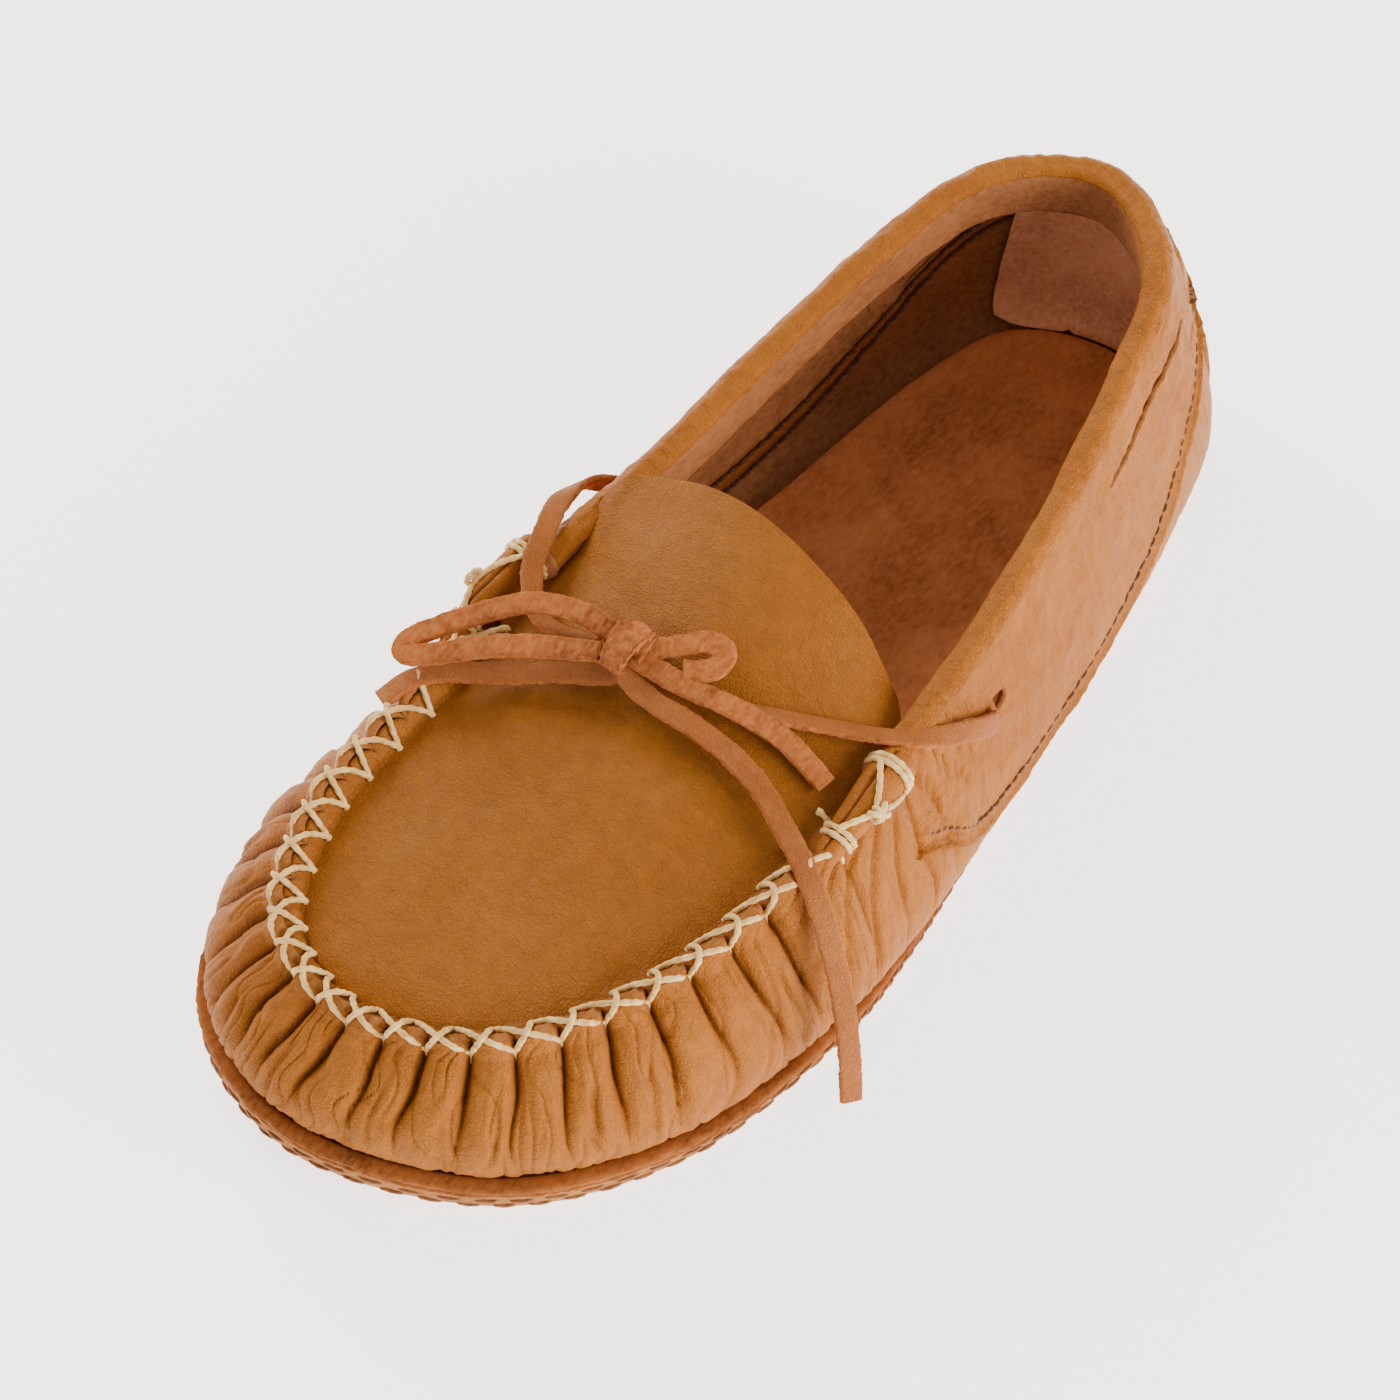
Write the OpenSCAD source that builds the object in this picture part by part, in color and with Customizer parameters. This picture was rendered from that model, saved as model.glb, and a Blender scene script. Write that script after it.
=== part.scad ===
/* [Size] */
// Length of the sole, heel to toe
sole_length = 274; // [245:1:300]
// Width of the sole across the ball of the foot
sole_width = 119; // [108:1:128]

/* [Leather] */
// Thickness of the upper leather
upper_t = 1.6; // [1.2:0.1:2]
// Thickness of the outsole leather
outsole_t = 2.6; // [2:0.1:3.4]
// Thickness of the foam pad under the foot
pad_t = 4; // [2:0.5:6]
// Thickness of the suede insole
insole_t = 1.4; // [1:0.1:2]
// Width of the raw lip round the sole
lip_w = 3.8; // [3.4:0.1:5]

/* [Collar] */
// Width of the folded collar across its top
collar_w = 6.4; // [5:0.2:8]
// Depth of the fold that hangs inside the shoe
collar_drop = 14; // [10:1:18]

/* [Toe] */
// Number of gathered puckers round the toe
pucker_count = 25; // [18:1:28]
// Depth of the furrow between two puckers
pucker_depth = 3; // [0:0.2:3]
// Height that the gathered edge stands above the apron
seam_ridge = 2.6; // [1:0.2:4]

/* [Lace and thread] */
// Width of the flat leather lace
lace_w = 4.6; // [3.6:0.2:5.4]
// Thickness of the flat leather lace
lace_t = 1.8; // [1.4:0.1:2.2]
// Thickness of the waxed apron thread
thread_d = 1.3; // [0.9:0.1:1.6]

/* [Hidden] */

gap = 0.25;
kx = sole_width / 119;
ky = sole_length / 274;

// Stations run from the heel, round by the wearer's left side (+X) to the toe, and back.
// Edge of the lip.
SOLE = [for (p = [[-3, 136, 8], [24, 125, 7], [35, 97, 6], [45, 52, 5.5], [53, 5, 5.5],
                  [58, -22, 5.5], [60, -47, 6], [54, -88, 8], [32, -122, 11], [-7, -139, 14],
                  [-42, -127, 13], [-59, -91, 11], [-55, -46, 7.5], [-50, -22, 6],
                  [-45, 5, 5.5], [-41, 50, 5.5], [-38, 97, 6], [-29, 125, 7]])
            [p.x * kx, p.y * ky, p.z]];
// Top edge of the upper: the collar's inner edge at the back, the apron seam at the front.
TOP = [for (p = [[-6, 123, 72], [15, 110, 71], [25, 82, 65], [33, 49, 59], [38.5, 15, 54],
                 [41, -14, 50.5], [43, -47, 41], [36, -79, 35], [20, -105, 32], [-6, -116.5, 30],
                 [-29, -111, 32], [-41, -87, 35], [-42, -55, 39], [-40, -14, 50.5],
                 [-37.5, 15, 54], [-36, 49, 59], [-33, 82, 65], [-25, 110, 71]])
           [p.x * kx, p.y * ky, p.z]];
// 0 where the upper carries the collar, 1 where it is gathered on to the apron.
GATHER = [0, 0, 0, 0, 0, 0, 1, 1, 1, 1, 1, 1, 1, 0, 0, 0, 0, 0];
// How far the side pushes out over the lip, low down.
SWELL = [13, 13, 14, 14, 13, 10, 8, 6, 4, 2.5, 4, 6, 8, 10, 13, 14, 14, 13];
stations = len(SOLE);
toe = stations / 2;
seam_end = 5;
gather_end = 5.5;

function spline(a, b, c, d, t) =
    0.5 * (2 * b + (c - a) * t + (2 * a - 5 * b + 4 * c - d) * t * t
           + (3 * b - a - 3 * c + d) * t * t * t);
function around(list, u) =
    let (n = len(list), k = floor(u), i = k + n)
    spline(list[(i - 1) % n], list[i % n], list[(i + 1) % n], list[(i + 2) % n], u - k);
function along(list, u) =
    let (n = len(list), k = min(floor(u), n - 2))
    spline(list[max(k - 1, 0)], list[k], list[k + 1], list[min(k + 2, n - 1)], u - k);
function unit(v) = v / max(norm(v), 0.001);
function mix(a, b, t) = a * (1 - t) + b * t;
function clamp01(t) = min(max(t, 0), 1);
function smooth(t) = let (s = clamp01(t)) s * s * (3 - 2 * s);

// Level outward direction at station u.
function outward(u) =
    let (d = around(SOLE, u + 0.05) - around(SOLE, u - 0.05)) unit([-d.y, d.x, 0]);
function flat(p) = [p.x, p.y, 0];
function inset(u, d) = flat(around(SOLE, u) - outward(u) * d);
function lip_z(u) = around(SOLE, u).z;

// The sole's underside is flat and turns up at the toe.
toe_turn_start = -75 * ky;
toe_turn = 0.0009;
function spring(p) = p.y < toe_turn_start ? toe_turn * (p.y - toe_turn_start) ^ 2 : 0;

// Dish inside the outsole, at distance d in from the lip's edge.
dish_flat = 14;
dish_mid = 8;
dish_mid_rise = 0.3;
function dish_rise(d) =
    d >= dish_flat ? 0
    : d >= dish_mid ? dish_mid_rise * (dish_flat - d) / (dish_flat - dish_mid)
    : mix(1, dish_mid_rise, clamp01((d - lip_w) / (dish_mid - lip_w)));
function dish(u, d, lift) =
    let (p = inset(u, d), low = outsole_t + spring(p))
    p + [0, 0, low + dish_rise(d) * (lip_z(u) - low) + lift];

// Side of the upper, from the lip (v = 0) to the top edge (v = 1), outer face.
shoulder_drop = 3;
function side_ends(u) =
    let (o = outward(u), g = clamp01(around(GATHER, u)), top = around(TOP, u))
    [inset(u, lip_w) + [0, 0, lip_z(u) + 0.5],
     inset(u, lip_w) + o * around(SWELL, u) + [0, 0, lip_z(u) + mix(5, 8, g)],
     top + o * mix(collar_w + 5, 8, g) - [0, 0, mix(17, -1, g)],
     top + o * mix(collar_w, 0.6, g) + [0, 0, mix(-shoulder_drop, seam_ridge, g)]];
function bezier(p, t) =
    p[0] * (1 - t) ^ 3 + p[1] * 3 * t * (1 - t) ^ 2 + p[2] * 3 * t * t * (1 - t) + p[3] * t ^ 3;
function bezier_d(p, t) =
    (p[1] - p[0]) * 3 * (1 - t) ^ 2 + (p[2] - p[1]) * 6 * t * (1 - t) + (p[3] - p[2]) * 3 * t * t;
function pucker(u, v) =
    let (span = 2 * (toe - gather_end), s = (u - gather_end) / span,
         on = smooth(s * 14) * smooth((1 - s) * 14))
    -pucker_depth * on * smooth((v - 0.1) / 0.55) * (1 - abs(sin(180 * pucker_count * s)));
// A point of the side, depth d in from its outer face.
function side(u, v, d) =
    let (p = side_ends(u), o = outward(u), t = bezier_d(p, v),
         n = unit(o * t.z + [0, 0, -(t * o)]))
    bezier(p, v) + n * (pucker(u, v) - d);

// Height of the quarter seam as a share of the side, from the seam end to the heel.
SEAM = [0.62, 0.34, 0.3, 0.36, 0.55, 0.74];
quarter_start = 5.05;
heel_end = 0.62;
function right_u(s) = mix(quarter_start, heel_end, s);
function side_u(s, inner) = inner ? stations - right_u(s) : right_u(s);
function seam_v(s) = along(SEAM, clamp01(s) * (len(SEAM) - 1));
collar_v = 0.76;
function wrap_v(u) =
    let (r = u > toe ? stations - u : u, s = (quarter_start - r) / (quarter_start - heel_end))
    s <= 0 ? mix(1, seam_v(0), smooth(1 + s * 14))
    : s >= 1 ? mix(seam_v(1), collar_v, smooth((s - 1) * 8)) - 0.01
    : seam_v(s);

// Closed solid between two grids of points, with open borders joined.
module sheet(a, b) {
    n = len(a);
    m = len(a[0]);
    pts = [each [for (r = b) each r], each [for (r = a) each r]];
    function at(g, i, j) = g * n * m + i * m + j;
    polyhedron(pts, [
        for (i = [0:n - 2], j = [0:m - 2]) each
            [[at(0, i, j), at(0, i + 1, j), at(0, i + 1, j + 1)],
             [at(0, i, j), at(0, i + 1, j + 1), at(0, i, j + 1)],
             [at(1, i, j), at(1, i + 1, j + 1), at(1, i + 1, j)],
             [at(1, i, j), at(1, i, j + 1), at(1, i + 1, j + 1)]],
        for (i = [0:n - 2]) each
            [[at(0, i, 0), at(1, i, 0), at(1, i + 1, 0)],
             [at(0, i, 0), at(1, i + 1, 0), at(0, i + 1, 0)],
             [at(0, i, m - 1), at(1, i + 1, m - 1), at(1, i, m - 1)],
             [at(0, i, m - 1), at(0, i + 1, m - 1), at(1, i + 1, m - 1)]],
        for (j = [0:m - 2]) each
            [[at(0, 0, j), at(1, 0, j + 1), at(1, 0, j)],
             [at(0, 0, j), at(0, 0, j + 1), at(1, 0, j + 1)],
             [at(0, n - 1, j), at(1, n - 1, j), at(1, n - 1, j + 1)],
             [at(0, n - 1, j), at(1, n - 1, j + 1), at(0, n - 1, j + 1)]]]);
}

// Closed solid through a stack of closed rings, each mirrored about its first point.
module stack(rings) {
    n = len(rings[0]);
    m = len(rings);
    function at(k, i) = k * n + (i % n);
    function cap(k, up) = [
        for (i = [0:n / 2 - 1]) each
            let (a = at(k, i), b = at(k, i + 1), c = at(k, n - i - 1), d = at(k, n - i))
            [if (i < n / 2 - 1) up ? [a, b, c] : [a, c, b],
             if (i > 0) up ? [a, c, d] : [a, d, c]]];
    polyhedron([for (r = rings) each r], [
        each cap(0, true),
        each cap(m - 1, false),
        for (k = [0:m - 2], i = [0:n - 1]) each
            [[at(k, i), at(k + 1, i), at(k + 1, i + 1)],
             [at(k, i), at(k + 1, i + 1), at(k, i + 1)]]]);
}

// Tube along a route: section points are [sideways, up], and hint turns the section.
module tube(route, section, hint) {
    n = len(section);
    m = len(route);
    rings = [for (i = [0:m - 1])
        let (t = unit(route[min(i + 1, m - 1)] - route[max(i - 1, 0)]),
             h = is_list(hint[0]) ? along(hint, i / (m - 1) * (len(hint) - 1)) : hint,
             s = unit(cross(t, h)), w = cross(s, t))
        [for (q = section) route[i] + s * q.x + w * q.y]];
    function at(i, j) = i * n + (j % n);
    polyhedron([for (r = rings) each r], [
        for (i = [0:m - 2], j = [0:n - 1]) each
            [[at(i, j), at(i, j + 1), at(i + 1, j + 1)],
             [at(i, j), at(i + 1, j + 1), at(i + 1, j)]],
        [for (j = [n - 1:-1:0]) at(0, j)],
        [for (j = [0:n - 1]) at(m - 1, j)]]);
}
function route(points, steps) =
    [for (i = [0:steps]) along(points, i / steps * (len(points) - 1))];
// Flat strap section with rounded corners, and a round one for thread.
function strap(w, t) =
    [for (q = [[1, -0.5], [1, 0.5], [0.7, 1], [-0.7, 1], [-1, 0.5], [-1, -0.5], [-0.7, -1],
               [0.7, -1]]) [q.x * w / 2, q.y * t / 2]];
function round_section(d, sides) =
    [for (i = [0:sides - 1]) [cos(360 * i / sides), sin(360 * i / sides)] * d / 2];

ring_steps = 72;
wrap_steps = 216;
function ring_u(i, n) = stations * i / n;

module outsole() {
    edge_t = 3.2;
    function under(u, d, rise) =
        let (p = inset(u, d), low = spring(p)) p + [0, 0, low + rise * (lip_z(u) - low)];
    color("#b5773f") stack([
        [for (i = [0:ring_steps - 1]) dish(ring_u(i, ring_steps), dish_flat, 0)],
        [for (i = [0:ring_steps - 1]) dish(ring_u(i, ring_steps), dish_mid, 0)],
        [for (i = [0:ring_steps - 1]) dish(ring_u(i, ring_steps), lip_w, 0)],
        [for (i = [0:ring_steps - 1]) dish(ring_u(i, ring_steps), 0.6, 0.2)],
        [for (i = [0:ring_steps - 1]) dish(ring_u(i, ring_steps), 0, -0.8)],
        [for (i = [0:ring_steps - 1]) dish(ring_u(i, ring_steps), 0.5, -edge_t)],
        [for (i = [0:ring_steps - 1]) under(ring_u(i, ring_steps), 1.2, 0.36)],
        [for (i = [0:ring_steps - 1]) under(ring_u(i, ring_steps), 3.6, 0.12)],
        [for (i = [0:ring_steps - 1]) under(ring_u(i, ring_steps), 8, 0.02)],
        [for (i = [0:ring_steps - 1]) under(ring_u(i, ring_steps), dish_flat, 0)]]);
}

// One piece of leather: the bottom and the sides, gathered round the toe.
module body_wrap() {
    function us() = [for (i = [0:wrap_steps - 1]) ring_u(i, wrap_steps)];
    function wall(share, d) = [for (u = us()) side(u, share * wrap_v(u), d)];
    color("#c98f57") stack([
        [for (u = us()) dish(u, dish_flat, gap + upper_t)],
        [for (u = us()) dish(u, dish_mid, gap + upper_t)],
        wall(0.08, upper_t), wall(0.35, upper_t), wall(0.7, upper_t), wall(1, upper_t),
        wall(1, 0), wall(0.86, 0), wall(0.66, 0), wall(0.42, 0), wall(0.2, 0), wall(0, 0),
        [for (u = us()) dish(u, dish_mid, gap)],
        [for (u = us()) dish(u, dish_flat, gap)]]);
}

pad_inset = 8.8;
pad_lift = gap + upper_t + gap;
module foam_pad() {
    function top(u, d) = inset(u, d) + [0, 0, outsole_t + spring(inset(u, d)) + pad_lift + pad_t];
    function us() = [for (i = [0:ring_steps - 1]) ring_u(i, ring_steps)];
    color("#d8cdb2") stack([
        [for (u = us()) top(u, dish_flat)],
        [for (u = us()) top(u, pad_inset)],
        [for (u = us()) dish(u, pad_inset, pad_lift)],
        [for (u = us()) dish(u, dish_flat, pad_lift)]]);
}

module insole() {
    low = pad_lift + pad_t + gap;
    function at(u, d, lift) = inset(u, d) + [0, 0, outsole_t + spring(inset(u, d)) + low + lift];
    function us() = [for (i = [0:ring_steps - 1]) ring_u(i, ring_steps)];
    color("#8a4a24") stack([
        [for (u = us()) at(u, dish_flat, insole_t)],
        [for (u = us()) at(u, pad_inset, insole_t)],
        [for (u = us()) at(u, pad_inset, 0)],
        [for (u = us()) at(u, dish_flat, 0)]]);
}

// Quarters: the upper side panels between the quarter seam and the collar.
quarter_steps = 32;
seam_gap = 0.006;
module quarter(inner) {
    function face(d) = [for (i = [0:quarter_steps]) let (s = i / quarter_steps)
        [for (j = [0:5]) side(side_u(s, inner),
            mix(min(seam_v(s), collar_v - 0.03) + seam_gap, collar_v - seam_gap, j / 5), d)]];
    color("#cf965c") if (inner) sheet(face(upper_t), face(0)); else sheet(face(0), face(upper_t));
}
module quarter_left() { quarter(false); }
module quarter_right() { quarter(true); }

// Collar: leather folded over the top edge, hollow for the lace.
collar_steps = 48;
collar_start = 4.98;
function collar_u(s) = mix(collar_start, -collar_start, s);
function collar_outer(u, d) =
    let (w = (u + stations) % stations, o = outward(w), top = around(TOP, w))
    [side(w, collar_v, d), side(w, mix(collar_v, 1, 0.5), d), side(w, 1, d),
     top + o * (collar_w - 0.9 - d * 0.6) + [0, 0, -1.2 - d * 0.8],
     top + o * (collar_w / 2) + [0, 0, 0.2 - d],
     top + o * (1 + d * 0.6) + [0, 0, -1 - d * 0.8],
     top + o * d + [0, 0, -3.4],
     top + o * (d + 0.5) + [0, 0, -collar_drop]];
// Slots in the collar's outer face, by station: where the lace goes in, and where it shows.
SLOTS = [[3.93, 4.07], [1.35, 2.5]];
slot_v = 0.87;
slot_h = 6;
module collar() {
    a = [for (i = [0:collar_steps]) collar_outer(collar_u(i / collar_steps), 0)];
    b = [for (i = [0:collar_steps]) collar_outer(collar_u(i / collar_steps), upper_t)];
    color("#d6a069") difference() {
        sheet(a, b);
        for (inner = [false, true], u = SLOTS) slot(u[0], u[1], inner);
    }
}
module slot(u0, u1, inner) {
    steps = 8;
    function grid(d) = [for (i = [0:steps])
        let (r = mix(u0, u1, i / steps), u = inner ? stations - r : r)
        [for (h = [-1, 1]) side(u, slot_v, d) + [0, 0, h * slot_h / 2]]];
    if (inner) sheet(grid(-2), grid(upper_t + 0.6)); else sheet(grid(upper_t + 0.6), grid(-2));
}

// Tape over the quarter seam, inside the shoe.
tape_w = 5;
tape_t = 0.9;
module seam_tape(inner) {
    steps = 40;
    function face(d) = [for (i = [0:steps])
        let (s = mix(0.06, 0.97, i / steps), u = side_u(s, inner), p = side_ends(u),
             dv = tape_w / 2 / norm(bezier_d(p, seam_v(s))))
        [for (h = [-1, 0, 1]) side(u, seam_v(s) + h * dv, upper_t + gap + d)]];
    color("#a7693a") if (inner) sheet(face(tape_t), face(0)); else sheet(face(0), face(tape_t));
}
module seam_tape_left() { seam_tape(false); }
module seam_tape_right() { seam_tape(true); }

// Small patch low on the outside of the heel, over the back seam.
patch_reach = 0.75;
patch_low = 0.1;
module heel_patch() {
    steps = 12;
    clear = 0.4;
    thick = 1;
    function face(d) = [for (i = [0:steps])
        let (u = mix(patch_reach, -patch_reach, i / steps), w = (u + stations) % stations,
             top = mix(0.66, 0.5, (u / patch_reach) ^ 2))
        [for (j = [0:4]) side(w, mix(patch_low, top, j / 4), d)]];
    color("#c08850") sheet(face(-clear - thick), face(-clear));
}

// Suede lining flap that turns up inside the heel.
lining_reach = 0.55;
lining_t = 1.1;
module heel_lining() {
    steps = 20;
    slack = 1.2;
    low = 0.12;
    high = 0.7;
    function face(d) = [for (i = [0:steps])
        let (u = mix(lining_reach, -lining_reach, i / steps), w = (u + stations) % stations)
        [for (j = [0:5]) side(w, mix(low, high, j / 5), upper_t + slack + d)]];
    color("#9a5a33") sheet(face(0), face(lining_t));
}

// Apron: the smooth panel on top of the foot, inside the gathered edge.
apron_t = 2;
apron_margin = 2.4;
hinge_share = 3.72;
function apron_edge(k, inner) =
    let (u = inner ? toe + k : toe - k, p = around(TOP, u))
    p - outward(u) * apron_margin - [0, 0, 0.6];
// Height of the arch across the apron, from the toe back to the lace.
ARCH = [0, 1.2, 2.2, 4.5, 8.5];
function apron_point(k, w, d) =
    let (l = apron_edge(k, true), r = apron_edge(k, false), p = mix(r, l, w))
    p + [0, 0, along(ARCH, k / hinge_share * 4) * (1 - (2 * w - 1) ^ 2) - d];
// The apron ends behind the lace, where the tongue starts to lift.
function fold_back(w) = 14 * abs(2 * w - 1) ^ 1.4;
fold_gap = 0.7;
module apron() {
    rows = 22;
    cols = 16;
    first = 0.1;
    function face(d) = [for (i = [0:rows]) let (k = mix(first, hinge_share, i / rows))
        [for (j = [0:cols]) apron_point(k, j / cols, d)
            + [0, smooth((i / rows - 0.8) / 0.2) * fold_back(j / cols), 0]]];
    color("#b97a42") sheet(face(0), face(apron_t));
}

// Tongue: the free end of the apron, arched over the instep.
TONGUE_END = [[35 * kx, 1 * ky, 46], [20 * kx, 5 * ky, 59], [-1 * kx, 8 * ky, 65],
              [-19 * kx, 9.5 * ky, 62.5], [-34 * kx, 9 * ky, 53]];
module tongue() {
    rows = 8;
    cols = 16;
    function front(w) =
        apron_point(hinge_share, w, 0) + [0, fold_back(w) + fold_gap * (1 + 1.6 * abs(2 * w - 1)), 0.1];
    function face(d) = [for (i = [0:rows]) let (t = i / rows)
        [for (j = [0:cols]) let (w = j / cols, e = along(TONGUE_END, w * 4))
            mix(front(w), e, t) + [0, 0, 1.5 * sin(180 * t) * sin(180 * w) - d]]];
    color("#bd8048") sheet(face(0), face(apron_t));
}

// Lace: round the back inside the collar, out of the front slots and up to the knot.
lace_start = 3.95;
lace_inset = collar_w / 2 + 0.1;
KNOT = [-9, -31, 58.8];
STRAND_LEFT = [[50.5, 12, 43.5], [50.5, 4, 46], [47.5, -4, 49.5], [41, -11, 51.5],
               [27, -20, 53.8], [12, -28, 55.4], [-1, -31, 56.6]];
STRAND_RIGHT = [[-50, 12, 43.5], [-50.5, 4, 46.5], [-49, -6, 51], [-45, -15, 53],
                [-41, -24, 51], [-31, -32, 51], [-17, -32, 54.6]];
module lace() {
    back = [for (i = [0:36]) let (u = mix(lace_start, -lace_start, i / 36),
                                  w = (u + stations) % stations)
            side(w, slot_v, lace_inset)];
    color("#b97f52") {
        tube(back, strap(lace_t, lace_w), [0, 0, 1]);
        tube([back[0], each route(STRAND_LEFT, 12)], strap(lace_w, lace_t), [0, 0.5, 1]);
        tube([back[36], each route(STRAND_RIGHT, 12)], strap(lace_w, lace_t), [0, 0.5, 1]);
    }
}

// Knot of the bow: one turn of the lace round the others.
knot_out = [5.2, 3.7];
module lace_knot() {
    turn = [for (a = [-160:20:160]) KNOT + [0, knot_out.x * cos(a), knot_out.y * sin(a)]];
    color("#b97f52") tube(turn, strap(lace_t, lace_w + 1), [1, 0, 0]);
}

// Left ear of the bow, and the short curl on the other side of the knot.
LOOP_LEFT = [[-13, -30, 59], [-22, -30.5, 59.5], [-33, -34, 57], [-43, -43, 52.5],
             [-49, -51.5, 50], [-48, -55, 49.5], [-43, -52.5, 50.5], [-30, -43, 54.5],
             [-13, -34.8, 58.2]];
LOOP_RIGHT = [[-5, -29, 59.5], [0, -25, 61], [4, -21.5, 62], [8, -21, 61.5], [8.5, -25, 60.5],
              [4, -29, 60]];
END_LEFT = [[-11, -36, 53.6], [-19, -39, 50.8], [-27, -43, 48], [-34, -47, 46],
            [-40, -51, 45.5], [-45.5, -56.5, 44], [-48, -63, 41.5]];
module bow_loop_left() {
    color("#b97f52") tube(route(LOOP_LEFT, 30), strap(lace_w, lace_t), [0, -0.4, 1]);
}
module bow_loop_right() {
    color("#b97f52") tube(route(LOOP_RIGHT, 14), strap(lace_w, lace_t), [0, -0.4, 1]);
}
module lace_end_left() {
    color("#b97f52") tube(route(END_LEFT, 18), strap(lace_w, lace_t), [-0.3, -0.4, 1]);
}

// The two free tails, each cut off square.
TAIL_LONG = [[-4, -35.5, 56.5], [3, -36.5, 56.5], [11, -35.5, 55.5], [20, -35, 53.5],
             [29, -36, 51], [37, -39, 49], [45, -42.5, 47], [52, -46, 43.5],
             [58.5, -49.5, 36.5], [63, -52, 30], [66.5, -54.5, 23], [69.5, -57, 16], [72, -59.5, 8]];
TAIL_SHORT = [[-2, -31.5, 58.8], [6, -31, 59], [13, -29, 58], [19, -27, 56], [26, -25.5, 53.5],
              [32, -25.5, 51], [38, -26, 48.5]];
module lace_tail_long() {
    color("#b97f52") tube(route(TAIL_LONG, 24), strap(lace_w, lace_t), [[0, -0.3, 1], [0.4, -0.3, 1],
                                                                       [1, -0.6, 0.4]]);
}
module lace_tail_short() {
    color("#b97f52") tube(route(TAIL_SHORT, 12), strap(lace_w, lace_t), [0, -0.3, 1]);
}

// Crossed stitches of waxed thread over the gathered edge.
thread_sides = 5;
gather_span = 2 * (toe - gather_end);
function furrow_u(i) = gather_end + gather_span * i / pucker_count;
function apron_hole(u) =
    around(TOP, u) - outward(u) * (apron_margin + 1.3) - [0, 0, 0.4];
function crease_hole(u) = side(u, 0.84, 0);
module stitch(from, to, lift) {
    o = unit(flat(to - from));
    tube([from - [0, 0, 1], from + o * 0.3 + [0, 0, 0.8],
          mix(from, to, 0.45) + [0, 0, lift], to + o * 0.6 + [0, 0, 0.8], to - o * 0.8 - [0, 0, 0.4]],
         round_section(thread_d, thread_sides), cross(o, [0, 0, 1]));
}
module apron_stitching() {
    color("#efdcae") for (i = [0:pucker_count]) {
        stitch(apron_hole(furrow_u(i)), crease_hole(furrow_u(i + 0.4)), 3.6);
        if (i < pucker_count)
            stitch(apron_hole(furrow_u(i + 1)), crease_hole(furrow_u(i + 0.15)), 2.2);
    }
}

// Thread wound round each end of the apron seam.
wrap_turns = 2.3;
wrap_r = 3.8;
wrap_pitch = 1.7;
module seam_wrap(inner) {
    u = inner ? stations - seam_end - 0.22 : seam_end + 0.22;
    axis = unit(around(TOP, u + 0.1) - around(TOP, u - 0.1));
    out = outward(u);
    up = unit(cross(axis, out));
    centre = side(u, 0.95, upper_t / 2);
    color("#efdcae") tube([for (a = [0:24:360 * wrap_turns])
        centre + out * wrap_r * cos(a) + up * wrap_r * sin(a)
        + axis * wrap_pitch * (a / 360 - wrap_turns / 2)],
        round_section(thread_d, thread_sides), axis);
}
module seam_wrap_left() { seam_wrap(false); }
module seam_wrap_right() { seam_wrap(true); }

// Two rows of stitches that hold the sole, on its rounded underside.
sole_thread = 0.9;
module sole_stitching() {
    dashes = 58;
    share = 0.55;
    rows = [1.6, 3];
    function under(u, d) =
        let (p = inset(u, d), low = spring(p), rise = 0.48 - d / 10)
        p + [0, 0, low + rise * (lip_z(u) - low)];
    color("#8c5428") for (r = [0, 1], i = [0:dashes - 1]) {
        u = stations * (i + r / 2) / dashes;
        tube([under(u, rows[r]), under(u + share * stations / dashes, rows[r])],
             round_section(sole_thread, 4), [0, 0, 1]);
    }
}

// Row of stitches on the outside of each quarter, and two rows on the tape inside.
seam_thread = 0.9;
module seam_row(inner, offset, depth) {
    steps = 32;
    tube([for (i = [0:steps])
        let (s = mix(0.03, 0.98, i / steps), u = side_u(s, inner),
             dv = offset / norm(bezier_d(side_ends(u), seam_v(s))))
        side(u, min(seam_v(s) + dv, 0.99), depth)], round_section(seam_thread, 4), [0, 0, 1]);
}
module quarter_stitching() {
    color("#7a431f") for (inner = [false, true]) seam_row(inner, 1.6, 0);
}
module tape_stitching() {
    color("#5d3118") for (inner = [false, true], h = [-1.5, 1.5])
        seam_row(inner, h, upper_t + gap + tape_t);
}

outsole();
body_wrap();
foam_pad();
insole();
apron();
tongue();
quarter_left();
quarter_right();
collar();
seam_tape_left();
seam_tape_right();
heel_patch();
heel_lining();
lace();
lace_knot();
lace_tail_long();
lace_tail_short();
lace_end_left();
bow_loop_left();
bow_loop_right();
apron_stitching();
seam_wrap_left();
seam_wrap_right();
sole_stitching();
quarter_stitching();
tape_stitching();
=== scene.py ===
"""Leather moccasin: every piece is built in millimetres from the shoe's outlines and stored in metres."""
import bpy
import numpy as np
from mathutils import Matrix, Vector


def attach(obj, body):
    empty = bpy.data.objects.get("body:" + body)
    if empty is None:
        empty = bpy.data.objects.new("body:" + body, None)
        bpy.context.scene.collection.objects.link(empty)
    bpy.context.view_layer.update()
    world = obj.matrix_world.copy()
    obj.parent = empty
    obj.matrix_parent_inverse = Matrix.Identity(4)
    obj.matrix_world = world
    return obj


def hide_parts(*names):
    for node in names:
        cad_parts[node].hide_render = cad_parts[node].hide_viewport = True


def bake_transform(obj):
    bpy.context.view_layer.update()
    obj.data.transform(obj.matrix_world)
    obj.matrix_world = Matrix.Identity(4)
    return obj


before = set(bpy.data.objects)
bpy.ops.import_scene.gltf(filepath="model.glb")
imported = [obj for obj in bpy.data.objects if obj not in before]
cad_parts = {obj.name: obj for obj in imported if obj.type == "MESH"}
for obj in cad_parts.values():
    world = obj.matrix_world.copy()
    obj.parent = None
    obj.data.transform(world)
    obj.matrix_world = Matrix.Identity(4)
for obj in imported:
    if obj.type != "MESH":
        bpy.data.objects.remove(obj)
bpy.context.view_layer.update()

MM = 0.001
SHOE, TONGUE, EAR = "shoe", "tongue_flap", "bow_ear"

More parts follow.
